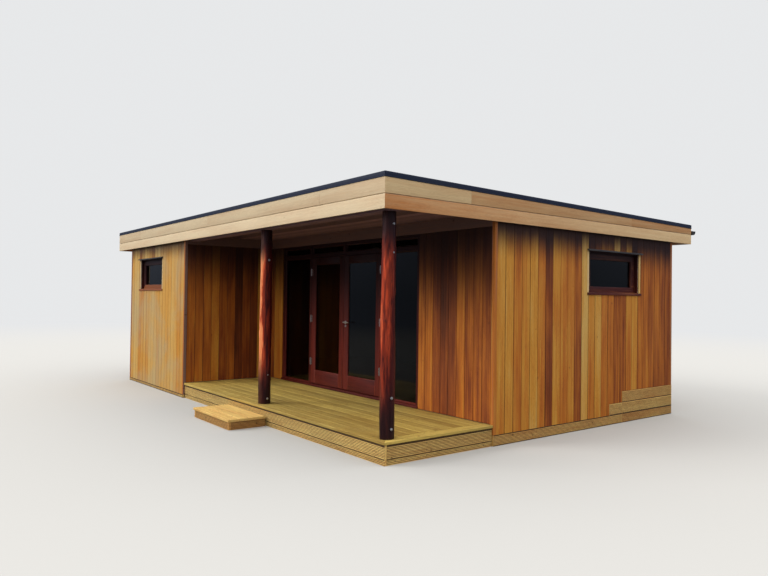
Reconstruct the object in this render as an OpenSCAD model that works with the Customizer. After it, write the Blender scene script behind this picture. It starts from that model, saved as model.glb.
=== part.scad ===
// Flat-roofed timber garden room with a recessed, decked entrance.
// Millimetres, +Z up, front facing -Y, +X to the right along the front.
// Origin at the centre of the footprint's bounding box, on the ground.

/* [Roof] */
// Length of the roof along the front
roof_length = 8480; // [7400:10:9600]
// Depth of the roof from the front fascia to the back fascia
roof_depth = 5730; // [5200:10:6600]
// Height of the top of the black roof trim at the front
roof_height = 2800; // [2700:5:3000]
// Drop of the roof from front to back
roof_fall = 71; // [20:1:90]
// Height of the lower fascia boards
fascia_lower_h = 140; // [120:1:160]
// Height of the upper fascia boards at the front
fascia_upper_h = 155; // [130:1:170]
// Height of the black roof trim
edge_trim_h = 55; // [40:1:70]
// How far the soffit lies above the bottom of the fascia
soffit_rise = 100; // [60:1:120]

/* [Walls] */
// Whole thickness of an outside wall with its cladding
wall_t = 180; // [150:5:240]
// Thickness of the cladding boards
cladding_t = 20; // [16:1:26]
// From the roof's right end to the right wall
right_overhang = 50; // [40:5:120]
// From the roof's left end to the left wall
left_overhang = 640; // [300:10:700]
// From the front fascia to the front bay's wall
bay_setback = 60; // [45:5:120]
// From the front fascia to the recessed front wall
recess_setback = 1568; // [1300:1:1800]
// From the roof's back edge to the back wall
back_overhang = 470; // [200:10:600]
// From the roof's right end to the front bay's return wall
bay_offset = 5150; // [4900:10:5300]

/* [Glazed screen] */
// From the roof's right end to the right side of the screen
screen_offset = 1305; // [1200:5:1500]
// Width of the screen
screen_w = 3440; // [3300:5:3600]
// Height of the screen above the floor
screen_h = 2170; // [2100:5:2200]
// From the roof's right end to the line where the doors meet
door_offset = 2970; // [2900:5:3050]
// Width of one door leaf
leaf_w = 870; // [800:5:900]
// Thickness of a door leaf
leaf_t = 54; // [44:1:60]
// Width of the door stiles and top rails
stile_w = 112; // [90:1:130]
// Height of the door's bottom rail
bottom_rail_h = 205; // [150:5:260]
// Clear height of a top light
toplight_h = 110; // [80:5:200]

/* [Windows] */
// Width of a window frame
window_w = 1130; // [900:5:1200]
// Height of a window frame
window_h = 560; // [450:5:700]
// Height of the window frames' bottom above the ground
window_z = 1670; // [1500:5:1750]
// From the roof's right end to the middle of the front window
front_window_offset = 6770; // [6600:10:6900]
// From the front fascia to the middle of the side window
side_window_offset = 3855; // [3600:5:4100]

/* [Deck] */
// Height of the deck and of the floor above the ground
deck_z = 230; // [180:5:260]
// From the front fascia back to the edge of the deck
deck_setback = 72; // [50:1:90]
// Depth of the step in front of the deck
step_depth = 500; // [400:10:560]
// Width of the step
step_w = 1080; // [900:10:1500]
// Height of the step
step_h = 125; // [100:5:150]
// From the roof's right end to the right side of the step
step_offset = 2420; // [1500:10:2800]
// Diameter of the near post at its foot
near_post_d = 150; // [130:1:180]
// Diameter of the far post at its foot
far_post_d = 160; // [130:1:180]
// From the roof's right end to the near post
near_post_offset = 180; // [160:5:300]
// From the roof's right end to the far post
far_post_offset = 2720; // [2600:10:2900]
// From the front fascia to the posts
post_setback = 200; // [180:5:260]

/* [Plinth] */
// Height of the plinth below the front bay
bay_plinth_h = 50; // [30:1:80]
// Height of the first plinth course on the sides
plinth_h = 120; // [90:1:145]
// From the recessed wall to the first and the second rise of the plinth
plinth_rise_1 = 2170; // [1900:10:2300]
plinth_rise_2 = 2460; // [2400:10:2800]

/* [Hidden] */

cedar = [0.72, 0.45, 0.25];
cedar_pale = [0.86, 0.72, 0.50];
mahogany = [0.34, 0.12, 0.09];
decking = [0.70, 0.60, 0.32];
rubber = [0.10, 0.11, 0.14];
steel = [0.75, 0.75, 0.74];
glazing = [0.45, 0.55, 0.60, 0.45];
framing = [0.80, 0.72, 0.58];

round_fn = 48;
joint = 2;

// Plan lines, on the outer faces
gutter_w = 112;
bracket_t = 3;
trim_out = 6;
overall_depth = step_depth - deck_setback + roof_depth - trim_out + gutter_w + 2 * bracket_t;
x_roof = roof_length / 2;
y_step = -overall_depth / 2;
y_deck = y_step + step_depth;
y_roof = y_deck - deck_setback;
y_back_edge = y_roof + roof_depth;
x_right = x_roof - right_overhang;
x_left = -x_roof + left_overhang;
x_bay = x_roof - bay_offset;
y_bay = y_roof + bay_setback;
y_recess = y_roof + recess_setback;
y_back = y_back_edge - back_overhang;

// Levels
z_trim = roof_height;
z_fascia_top = z_trim - edge_trim_h;
fascia_groove = 5;
z_fascia_joint = z_fascia_top - fascia_upper_h;
z_fascia_bottom = z_fascia_joint - fascia_groove - fascia_lower_h;
z_soffit = z_fascia_bottom + soffit_rise;
soffit_t = 18;
z_ceiling = z_soffit + soffit_t;
floor_t = 150;
z_base = deck_z - floor_t;

// Screen lines
x_screen_r = x_roof - screen_offset;
x_screen_l = x_screen_r - screen_w;
x_meet = x_roof - door_offset;
z_screen = deck_z + screen_h;
sill_h = 40;
head_h = 40;
jamb_w = 50;
mullion_w = 60;
transom_h = 48;
meeting_gap = 6;
hinge_gap = 6;
leaf_drop = 8;
door_half = meeting_gap / 2 + leaf_w + hinge_gap;
z_transom = z_screen - head_h - toplight_h - transom_h;
z_leaf = deck_z + sill_h + leaf_drop;
z_leaf_top = z_transom - hinge_gap;
screen_setback = 8;
screen_t = 100;
y_screen = y_recess + screen_setback;
glass_t = 24;

// A box given by its limits
module span(x0, x1, y0, y1, z0, z1) {
    translate([x0, y0, z0]) cube([x1 - x0, y1 - y0, z1 - z0]);
}

// Ground level and floor

bearer_w = 100;

module base_frame() {
    x0 = x_left + cladding_t;
    x1 = x_right - cladding_t;
    y1 = y_back - cladding_t;
    y_main = y_recess + cladding_t;
    color(framing) {
        span(x0, x0 + bearer_w, y_bay + cladding_t, y1, 0, z_base);
        span(x1 - bearer_w, x1, y_main, y1, 0, z_base);
        span(x0 + bearer_w + joint, x1 - bearer_w - joint, y1 - bearer_w, y1, 0, z_base);
        span(x_bay - cladding_t, x1 - bearer_w - joint, y_main, y_main + bearer_w, 0, z_base);
        span(x_bay - cladding_t - bearer_w - joint, x_bay - cladding_t - joint,
            y_bay + cladding_t, y1 - bearer_w - joint, 0, z_base);
        span(x0 + bearer_w + joint, x_bay - cladding_t - bearer_w - 2 * joint,
            y_bay + cladding_t, y_bay + cladding_t + bearer_w, 0, z_base);
        for (part = [1, 2])
            span(x_bay + part * (x1 - x_bay) / 3, x_bay + part * (x1 - x_bay) / 3 + bearer_w,
                y_main + bearer_w + joint, y1 - bearer_w - joint, 0, z_base);
    }
}

module floor() {
    x0 = x_left + cladding_t;
    y_split = y_recess + cladding_t;
    color(framing) {
        span(x0, x_right - cladding_t, y_split, y_back - cladding_t, z_base, deck_z);
        span(x0, x_bay - cladding_t, y_bay + cladding_t, y_split - joint, z_base, deck_z);
    }
}

// Wall panels, split round each window

module panels_x(x0, x1, y0, y1, mid) {
    w0 = mid - window_w / 2;
    w1 = mid + window_w / 2;
    span(x0, w0 - joint, y0, y1, deck_z, z_ceiling);
    span(w1 + joint, x1, y0, y1, deck_z, z_ceiling);
    span(w0, w1, y0, y1, deck_z, window_z);
    span(w0, w1, y0, y1, window_z + window_h, z_ceiling);
}

module bay_front_wall() {
    color(framing)
        panels_x(x_left + wall_t, x_bay - cladding_t, y_bay + cladding_t, y_bay + wall_t,
            x_roof - front_window_offset);
}

module return_wall() {
    color(framing)
        span(x_bay - wall_t, x_bay - cladding_t, y_bay + wall_t, y_recess + cladding_t,
            deck_z, z_ceiling);
}

module recess_wall() {
    y0 = y_recess + cladding_t;
    y1 = y_recess + wall_t;
    color(framing) {
        span(x_bay - wall_t, x_screen_l, y0, y1, deck_z, z_ceiling);
        span(x_screen_r, x_right - cladding_t, y0, y1, deck_z, z_ceiling);
        span(x_screen_l + joint, x_screen_r - joint, y0, y1, z_screen, z_ceiling);
    }
}

module right_wall() {
    mid = y_roof + side_window_offset;
    color(framing)
        translate([x_right - cladding_t, 0, 0]) rotate([0, 0, 90])
            panels_x(y_recess + wall_t, y_back - wall_t, 0, wall_t - cladding_t, mid);
}

module back_wall() {
    color(framing)
        span(x_left + wall_t, x_right - cladding_t, y_back - wall_t, y_back - cladding_t,
            deck_z, z_ceiling);
}

module left_wall() {
    color(framing)
        span(x_left + cladding_t, x_left + wall_t, y_bay + cladding_t, y_back - cladding_t,
            deck_z, z_ceiling);
}

// Cladding skins

corner_w = 40;
corner_t = 24;
header_h = z_soffit - z_screen;
strip_w = 40;
strip_gap = 6;
strip_back = 4;
sill_nose = 30;
y_rise_1 = y_recess + plinth_rise_1;
y_rise_2 = y_recess + plinth_rise_2;
course_h = 145;
plinth_2 = plinth_h + course_h;
plinth_3 = plinth_2 + course_h;

module window_hole_x(mid) {
    translate([mid - window_w / 2 - strip_w, -500, window_z])
        cube([window_w + 2 * strip_w, 1000, window_h]);
}

module bay_front_cladding() {
    color(cedar_pale) difference() {
        span(x_left + corner_w, x_bay - corner_w, y_bay, y_bay + cladding_t,
            bay_plinth_h, z_soffit);
        translate([0, y_bay, 0]) window_hole_x(x_roof - front_window_offset);
    }
}

module return_cladding() {
    color(cedar)
        span(x_bay - cladding_t, x_bay, y_bay + corner_w, y_recess + cladding_t,
            deck_z + 5, z_soffit - header_h);
}

module recess_cladding() {
    z0 = deck_z + 5;
    color(cedar) {
        span(x_bay, x_screen_l, y_recess, y_recess + cladding_t, z0, z_screen);
        span(x_screen_r, x_right - corner_w, y_recess, y_recess + cladding_t, z0, z_screen);
    }
}

// Side of a building in plan from y0 to y1, with its bottom stepped up to the back
module stepped_skin(x0, x1, y0) {
    rotate([90, 0, 90]) translate([0, 0, x0]) linear_extrude(x1 - x0)
        polygon([[y0, plinth_h], [y_rise_1, plinth_h], [y_rise_1, plinth_2],
            [y_rise_2, plinth_2], [y_rise_2, plinth_3], [y_back - corner_w, plinth_3],
            [y_back - corner_w, z_soffit], [y0, z_soffit]]);
}

module right_cladding() {
    color(cedar) difference() {
        stepped_skin(x_right - cladding_t, x_right, y_recess + corner_w);
        translate([x_right, 0, 0]) rotate([0, 0, 90])
            window_hole_x(y_roof + side_window_offset);
    }
}

module left_cladding() {
    color(cedar) stepped_skin(x_left, x_left + cladding_t, y_bay + corner_w);
}

module back_cladding() {
    color(cedar)
        span(x_left + corner_w, x_right - corner_w, y_back - cladding_t, y_back,
            plinth_3, z_soffit);
}

// L-section strip on an outside corner; sx and sy point out of the building
module corner_strip(x, y, sx, sy, z0) {
    proud = corner_t - cladding_t;
    translate([x, y, z0]) mirror([sx < 0 ? 1 : 0, 0, 0]) mirror([0, sy < 0 ? 1 : 0, 0])
        difference() {
            translate([-corner_w, -corner_w, 0])
                cube([corner_w + proud, corner_w + proud, z_soffit - z0]);
            translate([-corner_w - 1, -corner_w - 1, -1])
                cube([corner_w + 1 - cladding_t, corner_w + 1 - cladding_t, z_soffit]);
        }
}

module window_strips() {
    for (side = [-1, 1])
        translate([side * (window_w + strip_w - strip_gap) / 2 - (strip_w - strip_gap) / 2,
            strip_back, window_z + sill_nose])
            cube([strip_w - strip_gap, cladding_t - strip_back, window_h - sill_nose]);
}

module cedar_trims() {
    color(cedar_pale) {
        corner_strip(x_right, y_recess, 1, -1, plinth_h);
        corner_strip(x_right, y_back, 1, 1, plinth_3);
        corner_strip(x_left, y_back, -1, 1, plinth_3);
        corner_strip(x_left, y_bay, -1, -1, bay_plinth_h);
        corner_strip(x_bay, y_bay, 1, -1, bay_plinth_h);
        span(x_bay + joint, x_right - corner_w - joint, y_recess - 2,
            y_recess + cladding_t, z_screen, z_soffit);
        span(x_bay - cladding_t, x_bay + 2, y_bay + corner_w + joint, y_recess - 4,
            z_soffit - header_h, z_soffit);
        translate([x_roof - front_window_offset, y_bay, 0]) window_strips();
        translate([x_right, y_roof + side_window_offset, 0]) rotate([0, 0, 90]) window_strips();
    }
}

// Grooved board, lying along X, its grooved face towards -Y, its bottom at z = 0
board_t = 28;
groove_pitch = 14.5;
groove_w = 6;
groove_d = 3;
plinth_t = 26;

module grooved_board(length, height, thick = board_t) {
    rotate([90, 0, 90]) linear_extrude(length) difference() {
        square([thick, height]);
        for (z = [groove_pitch / 2 : groove_pitch : height - groove_w])
            translate([-1, z]) square([groove_d + 1, groove_w]);
    }
}

// A stack of courses up to a height, the top one full
module plinth_stack(length, top) {
    for (level = [top : -course_h : 1])
        translate([0, 0, max(0, level - course_h)])
            grooved_board(length, min(level, course_h) - joint, plinth_t);
}

module plinth_boards() {
    out = plinth_t - cladding_t;
    color(decking) {
        translate([x_left - out, y_bay - out, 0])
            plinth_stack(x_bay - x_left + out, bay_plinth_h);
        translate([x_right + out, y_recess, 0]) rotate([0, 0, 90]) {
            plinth_stack(plinth_rise_1 - joint, plinth_h);
            translate([plinth_rise_1, 0, 0])
                plinth_stack(plinth_rise_2 - plinth_rise_1 - joint, plinth_2);
            translate([plinth_rise_2, 0, 0])
                plinth_stack(y_back + out - y_rise_2, plinth_3);
        }
        translate([x_left - out, y_back + out, 0]) rotate([0, 0, -90]) {
            plinth_stack(y_back + out - y_rise_2 - joint, plinth_3);
            translate([y_back + out - y_rise_2, 0, 0])
                plinth_stack(plinth_rise_2 - plinth_rise_1 - joint, plinth_2);
            translate([y_back + out - y_rise_1, 0, 0])
                plinth_stack(y_rise_1 - y_bay - corner_w - joint, plinth_h);
            translate([y_back + out - y_bay - corner_w + joint, 0, 0])
                plinth_stack(corner_w - cladding_t - 2 * joint, bay_plinth_h);
        }
        translate([x_right - cladding_t - joint, y_back + out, 0]) rotate([0, 0, 180])
            plinth_stack(x_right - x_left - 2 * cladding_t - 2 * joint, plinth_3);
    }
}

// Deck

deck_gap = 5;
deck_count = 10;
deck_w = (y_recess - deck_gap - y_deck - (deck_count - 1) * deck_gap) / deck_count;
joist_w = 47;
joist_h = 147;
z_joist_top = deck_z - board_t;
nosing = 14;
riser_h = 145;

ease_r = 6;

// Section of a board that lies flat, w wide and t thick, with its upper edges rounded
module eased_section(w, t, r = ease_r) {
    square([w, t - r]);
    translate([r, 0]) square([w - 2 * r, t]);
    for (y = [r, w - r])
        translate([y, t - r]) circle(r, $fn = round_fn);
}

module deck_board(x0, x1, y) {
    translate([x0, y, z_joist_top]) rotate([90, 0, 90])
        linear_extrude(x1 - x0) eased_section(deck_w, board_t);
}

// Everything on one side of the mitre line at the deck's outer corner
module mitre_side(side) {
    translate([x_right, y_deck, z_joist_top - 1]) rotate([0, 0, 135])
        translate([-50, side < 0 ? -300 + joint / 2 : -joint / 2, 0]) cube([400, 300, board_t + 2]);
}

module deck_boards() {
    x0 = x_bay + deck_gap;
    x_border = x_right - deck_w;
    color(decking) {
        difference() {
            deck_board(x0, x_right, y_deck);
            mitre_side(-1);
        }
        difference() {
            translate([x_right, y_deck, z_joist_top]) rotate([90, 0, 180])
                linear_extrude(y_recess - deck_gap - y_deck) eased_section(deck_w, board_t);
            mitre_side(1);
        }
        for (i = [1 : deck_count - 1])
            deck_board(x0, x_border - deck_gap, y_deck + i * (deck_w + deck_gap));
    }
}

module deck_frame() {
    x0 = x_bay + deck_gap;
    x1 = x_right - nosing - board_t;
    y0 = y_deck + nosing + board_t;
    y1 = y_recess - deck_gap;
    count = 9;
    pitch = (x1 - x0 - joist_w) / (count - 1);
    color(framing)
        for (i = [0 : count - 1]) {
            x = x0 + i * pitch;
            span(x, x + joist_w, y0, y1, z_joist_top - joist_h, z_joist_top);
            for (y = [y0 + 60, (y0 + y1) / 2, y1 - 160])
                span(x, x + joist_w, y, y + 100, 0, z_joist_top - joist_h);
        }
}

module deck_risers() {
    z1 = z_joist_top - deck_gap - riser_h;
    low = z1 - deck_gap;
    run_x = x_right - nosing - x_bay - deck_gap;
    run_y = y_recess - y_deck - nosing - board_t - 4 * joint;
    color(decking) {
        for (rise = [[0, low], [z1, riser_h]]) {
            translate([x_bay + deck_gap, y_deck + nosing, rise[0]])
                grooved_board(run_x, rise[1]);
            translate([x_right - nosing, y_deck + nosing + board_t + joint, rise[0]])
                rotate([0, 0, 90]) grooved_board(run_y, rise[1]);
        }
    }
}

module entry_step() {
    x1 = x_roof - step_offset;
    x0 = x1 - step_w;
    tread = 144;
    z_tread = step_h - board_t;
    last = step_depth - 3 * (tread + deck_gap) - deck_gap;
    color(decking) {
        translate([x0 + nosing, y_step + nosing, 0]) grooved_board(step_w - 2 * nosing, z_tread);
        translate([x1 - nosing, y_step + nosing, 0]) rotate([0, 0, 90])
            grooved_board(step_depth - nosing - deck_gap, z_tread);
        translate([x0 + nosing, y_deck - deck_gap, 0]) rotate([0, 0, -90])
            grooved_board(step_depth - nosing - deck_gap, z_tread);
        for (i = [0 : 3])
            translate([x0, y_step + i * (tread + deck_gap), z_tread]) rotate([90, 0, 90])
                linear_extrude(step_w) eased_section(i < 3 ? tread : last, board_t);
    }
}

// Peeled log, a little thinner at the top and never quite straight-sided
module log_post(d_foot, d_top, swell, seed) {
    height = z_fascia_bottom - deck_z;
    steps = 14;
    rotate_extrude($fn = round_fn)
        polygon(concat([[0, 0]],
            [for (i = [0 : steps])
                [(d_foot + (d_top - d_foot) * i / steps) / 2 + swell * sin(seed + i * 67),
                    height * i / steps]],
            [[0, height]]));
}

module porch_posts() {
    color(mahogany) translate([x_roof, y_roof + post_setback, deck_z]) {
        translate([-near_post_offset, 0, 0]) log_post(near_post_d, near_post_d - 6, 1.6, 20);
        translate([-far_post_offset, 0, 0]) log_post(far_post_d, far_post_d - 10, 1.8, 140);
    }
}

// Roof

fascia_t = 20;
fascia_inset = trim_out + fascia_t;
deck_drop = 6;
beam_w = 120;
butt_joints_front = [1157, 4180, 7190];
butt_joints_side = [1155, 4155];

module roof_beam() {
    color(cedar)
        span(x_bay + joint, x_roof - fascia_inset, y_roof + post_setback - beam_w / 2,
            y_roof + post_setback + beam_w / 2, z_fascia_bottom, z_soffit);
}

module soffit_boards() {
    x0 = -x_roof + fascia_inset;
    x1 = x_roof - fascia_inset;
    y0 = y_roof + fascia_inset;
    y1 = y_back_edge - fascia_inset;
    color(cedar) {
        span(x_bay + joint, x1, y0, y_recess, z_soffit, z_ceiling);
        span(x_right, x1, y_recess + joint, y1, z_soffit, z_ceiling);
        span(x_left, x_right - joint, y_back, y1, z_soffit, z_ceiling);
        span(x0, x_left - joint, y0, y1, z_soffit, z_ceiling);
        span(x_left, x_bay, y0, y_bay, z_soffit, z_ceiling);
    }
}

function roof_z(y, z) = z - roof_fall * (y - y_roof) / roof_depth;

// Solid from x0 to x1 under the fall of the roof, from bottom to top lines
module roof_wedge(x0, x1, y0, y1, z0, z1, level = false) {
    rotate([90, 0, 90]) translate([0, 0, x0]) linear_extrude(x1 - x0)
        polygon([[y0, level ? z0 : roof_z(y0, z0)], [y1, level ? z0 : roof_z(y1, z0)],
            [y1, roof_z(y1, z1)], [y0, roof_z(y0, z1)]]);
}

module roof_panel() {
    color(framing)
        roof_wedge(-x_roof + fascia_inset, x_roof - fascia_inset, y_roof + fascia_inset,
            y_back_edge - fascia_inset, z_ceiling, z_fascia_top - deck_drop, true);
}

membrane_t = 4;
trim_w = 60;
trim_lip = 3;
fall_angle = atan(roof_fall / roof_depth);

module roof_membrane() {
    z0 = z_fascia_top - deck_drop + 1;
    color(rubber)
        roof_wedge(-x_roof + trim_w + joint, x_roof - trim_w - joint, y_roof + trim_w + joint,
            y_back_edge - fascia_inset, z0, z0 + membrane_t);
}

// Section of the rubber kerb trim, its outer edge at x = 0, with a drip lip at the bottom
module trim_section() {
    t = edge_trim_h;
    polygon([[0, 0], [0, 7], [trim_lip, 11], [trim_lip, t - 9], [trim_lip + 3, t - 3],
        [trim_lip + 9, t], [trim_w - 18, t], [trim_w, t - 18], [trim_w, 0]]);
}

// The trim at one end of the front, cut square to meet the front's mitre
module side_trim() {
    difference() {
        translate([-x_roof, y_roof, z_fascia_top]) rotate([-fall_angle, 0, 0])
            translate([0, roof_depth - joint, 0]) rotate([90, 0, 0])
            linear_extrude(roof_depth) trim_section();
        translate([-x_roof, y_roof, z_fascia_top - 5]) rotate([0, 0, 45])
            translate([-100, -200 + joint / 2, 0]) cube([300, 200, 100]);
    }
}

module roof_edge_trim() {
    color(rubber) {
        difference() {
            translate([-x_roof, y_roof, z_fascia_top]) rotate([90, 0, 90])
                linear_extrude(roof_length) trim_section();
            for (side = [0, 1])
                mirror([side, 0, 0]) translate([-x_roof, y_roof, z_fascia_top - 5])
                    rotate([0, 0, 45]) translate([-100, 0, 0]) cube([300, 200, 100]);
        }
        side_trim();
        mirror([1, 0, 0]) side_trim();
        roof_drip();
    }
}

// Folded drip that leads the roof's water over the back fascia into the gutter
module roof_drip() {
    y1 = y_back_edge - trim_out;
    z1 = roof_z(y1, z_fascia_top) + 2;
    drip = 34;
    color(rubber) {
        span(-x_roof + trim_w + joint, x_roof - trim_w - joint, y1 - fascia_t, y1 + 8, z1, z1 + 3);
        span(-x_roof + trim_w + joint, x_roof - trim_w - joint, y1 + 5, y1 + 8, z1 - drip, z1);
    }
}

// One mitred side of the fascia, between two levels; side 0 front, 1 right, 2 back, 3 left
module fascia_side(side, z0, z1) {
    xe = x_roof - trim_out;
    ye0 = y_roof + trim_out;
    ye1 = y_back_edge - trim_out;
    t = fascia_t;
    plans = [
        [[-xe, ye0], [xe, ye0], [xe - t, ye0 + t], [-xe + t, ye0 + t]],
        [[xe, ye0], [xe, ye1], [xe - t, ye1 - t], [xe - t, ye0 + t]],
        [[xe, ye1], [-xe, ye1], [-xe + t, ye1 - t], [xe - t, ye1 - t]],
        [[-xe, ye1], [-xe, ye0], [-xe + t, ye0 + t], [-xe + t, ye1 - t]]];
    translate([0, 0, z0]) linear_extrude(z1 - z0) polygon(plans[side]);
}

v_cut = 9;

// Square bar on its edge that cuts the V between two fascia boards, along x = 0 in plan
module v_bar(length) {
    translate([0, 0, z_fascia_joint - fascia_groove / 2]) rotate([45, 0, 0])
        cube([length, v_cut, v_cut], center = true);
}

// Every V along the fascia, all round
module v_joints() {
    for (y = [y_roof + trim_out, y_back_edge - trim_out])
        translate([0, y, 0]) v_bar(roof_length + 100);
    for (x = [-x_roof + trim_out, x_roof - trim_out])
        translate([x, (y_roof + y_back_edge) / 2, 0]) rotate([0, 0, 90]) v_bar(roof_depth + 100);
}

module front_fascia() {
    color(cedar_pale) difference() {
        union() {
            fascia_side(0, z_fascia_bottom, z_fascia_joint - fascia_groove);
            fascia_side(0, z_fascia_joint, z_fascia_top);
        }
        for (at = butt_joints_front)
            translate([x_roof - at, y_roof - 10, z_fascia_joint - 1])
                cube([joint, 60, fascia_upper_h + 10]);
        v_joints();
    }
}

module side_fascia(side) {
    x = side == 1 ? x_roof : -x_roof;
    fascia_side(side, z_fascia_bottom, z_fascia_joint - fascia_groove);
    difference() {
        intersection() {
            fascia_side(side, z_fascia_joint, z_fascia_top);
            roof_wedge(x - 60, x + 60, y_roof, y_back_edge, z_fascia_joint - 1, z_fascia_top - 1,
                true);
        }
        for (at = butt_joints_side)
            translate([x - 60, y_roof + at, z_fascia_joint - 1])
                cube([120, joint, fascia_upper_h + 10]);
    }
}

module side_fascias() {
    color(cedar_pale) difference() {
        union() {
            side_fascia(1);
            side_fascia(3);
        }
        v_joints();
    }
}

module back_fascia() {
    color(cedar_pale) difference() {
        union() {
            fascia_side(2, z_fascia_bottom, z_fascia_joint - fascia_groove);
            fascia_side(2, z_fascia_joint, z_fascia_top - roof_fall - 2);
        }
        v_joints();
    }
}

gutter_t = 3;
gutter_z = 2640;
bracket_count = 9;
bracket_w = 26;
outlet_r = 34;
outlet_drop = 46;
outlet_at = roof_length - 420;
y_gutter = y_back_edge - trim_out + bracket_t + gutter_w / 2;

// Half ring or half disc below z = 0, drawn across the gutter
module half_section(r_out, r_in = 0) {
    difference() {
        intersection() {
            circle(r_out, $fn = round_fn);
            translate([-r_out, -r_out]) square([2 * r_out, r_out]);
        }
        if (r_in > 0) circle(r_in, $fn = round_fn);
    }
}

module gutter() {
    r = gutter_w / 2;
    first = 300;
    pitch = (roof_length - 2 * first - bracket_w) / (bracket_count - 1);
    color(rubber) translate([-x_roof, y_gutter, gutter_z]) difference() {
        union() {
            rotate([90, 0, 90]) linear_extrude(roof_length) half_section(r, r - gutter_t);
            for (x = [0, roof_length - gutter_t])
                translate([x, 0, 0]) rotate([90, 0, 90])
                    linear_extrude(gutter_t) half_section(r - 1);
            for (i = [0 : bracket_count - 1])
                translate([first + i * pitch, 0, 0]) rotate([90, 0, 90])
                    linear_extrude(bracket_w) {
                        half_section(r + bracket_t, r - 1);
                        translate([-r - bracket_t, -r + 8]) square([bracket_t, r + 10]);
                    }
            translate([outlet_at, 0, -r - outlet_drop]) cylinder(h = outlet_drop + 12, r = outlet_r,
                $fn = round_fn);
        }
        translate([outlet_at, 0, -r - outlet_drop - 1]) cylinder(h = outlet_drop + 30,
            r = outlet_r - gutter_t, $fn = round_fn);
    }
}

// Glazed screen

stop_w = 12;
stop_back = 60;
bead_w = 16;
bead_back = 14;
bead_chamfer = 10;
nose = 20;

// Frame member with a door stop on its right (side 1), on its left (side -1) or none
module screen_post(x0, x1, z0, z1, side = 0) {
    y1 = y_screen + screen_t;
    span(x0, x1, y_screen, y1, z0, z1);
    if (side > 0) span(x1 - 1, x1 + stop_w, y_screen + stop_back, y1, z0, z_transom);
    if (side < 0) span(x0 - stop_w, x0 + 1, y_screen + stop_back, y1, z0, z_transom);
}

module screen_posts() {
    z0 = deck_z + sill_h;
    z1 = z_screen - head_h;
    xl = x_meet - door_half;
    xr = x_meet + door_half;
    color(mahogany) {
        screen_post(x_screen_l, x_screen_l + jamb_w, z0, z1);
        screen_post(x_screen_r - jamb_w, x_screen_r, z0, z1);
        screen_post(xl - mullion_w, xl, z0, z1, 1);
        screen_post(xr, xr + mullion_w, z0, z1, -1);
        screen_post(x_meet - mullion_w / 2, x_meet + mullion_w / 2, z_transom + transom_h, z1);
    }
}

// Sill with a sloping nose in front and a low stop behind the doors
module screen_sill() {
    y1 = y_screen + screen_t;
    xl = x_meet - door_half;
    xr = x_meet + door_half;
    translate([x_screen_l, 0, deck_z]) rotate([90, 0, 90])
        linear_extrude(x_screen_r - x_screen_l)
        polygon([[y_screen - nose, joint], [y_screen - nose, sill_h - 14], [y_screen, sill_h],
            [y1, sill_h], [y1, 0], [y_screen + 10, 0], [y_screen + 10, joint]]);
    span(xl + stop_w, xr - stop_w, y_screen + stop_back, y1, deck_z + sill_h - 1,
        deck_z + sill_h + stop_w);
}

module screen_rails() {
    y1 = y_screen + screen_t;
    z1 = z_transom + transom_h;
    xl = x_meet - door_half;
    xr = x_meet + door_half;
    color(mahogany) {
        screen_sill();
        span(x_screen_l, x_screen_r, y_screen, y1, z_screen - head_h, z_screen);
        span(xl, xr, y_screen, y1, z_transom, z1);
        span(xl + stop_w, xr - stop_w, y_screen + stop_back, y1, z_transom - stop_w, z_transom + 1);
        span(x_screen_l + jamb_w, xl - mullion_w, y_screen, y1, z_transom, z1);
        span(xr + mullion_w, x_screen_r - jamb_w, y_screen, y1, z_transom, z1);
    }
}

// Clear openings of the fixed lights, each as left, right, bottom and top
fixed_lights = [
    [x_screen_l + jamb_w, x_meet - door_half - mullion_w, deck_z + sill_h, z_transom],
    [x_meet + door_half + mullion_w, x_screen_r - jamb_w, deck_z + sill_h, z_transom],
    [x_screen_l + jamb_w, x_meet - door_half - mullion_w, z_transom + transom_h,
        z_screen - head_h],
    [x_meet - door_half, x_meet - mullion_w / 2, z_transom + transom_h, z_screen - head_h],
    [x_meet + mullion_w / 2, x_meet + door_half, z_transom + transom_h, z_screen - head_h],
    [x_meet + door_half + mullion_w, x_screen_r - jamb_w, z_transom + transom_h,
        z_screen - head_h]];

// Tapered cut that chamfers the edges round an opening, mitred in the corners; the opening's
// limits are x0, x1, z0 and z1, and the chamfered face lies on y = 0 and faces -Y
module splay_cut(x0, x1, z0, z1, chamfer) {
    out = chamfer + 1;
    intersection() {
        translate([0, 0, z0 - out]) linear_extrude(z1 - z0 + 2 * out)
            polygon([[x0 - out, -1], [x1 + out, -1], [x1 - 1, out], [x0 + 1, out]]);
        rotate([90, 0, 90]) translate([0, 0, x0 - out]) linear_extrude(x1 - x0 + 2 * out)
            polygon([[-1, z0 - out], [-1, z1 + out], [out, z1 - 1], [out, z0 + 1]]);
    }
}

// Ring of glazing bead round an opening, in front of y = 0, its inner front edge chamfered
module bead_ring(x0, x1, z0, z1, depth) {
    difference() {
        translate([x0, -depth, z0]) cube([x1 - x0, depth, z1 - z0]);
        translate([x0 + bead_w, -depth - 1, z0 + bead_w])
            cube([x1 - x0 - 2 * bead_w, depth + 2, z1 - z0 - 2 * bead_w]);
        translate([0, -depth, 0])
            splay_cut(x0 + bead_w, x1 - bead_w, z0 + bead_w, z1 - bead_w, bead_chamfer);
    }
}

module screen_beads() {
    y_front = y_screen + (screen_t - glass_t) / 2;
    depth = (screen_t - glass_t) / 2 - bead_back;
    color(mahogany) for (light = fixed_lights) {
        translate([0, y_front, 0]) bead_ring(light[0], light[1], light[2], light[3], depth);
        translate([0, y_front + glass_t, 0]) mirror([0, 1, 0])
            bead_ring(light[0], light[1], light[2], light[3], depth);
    }
}

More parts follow.
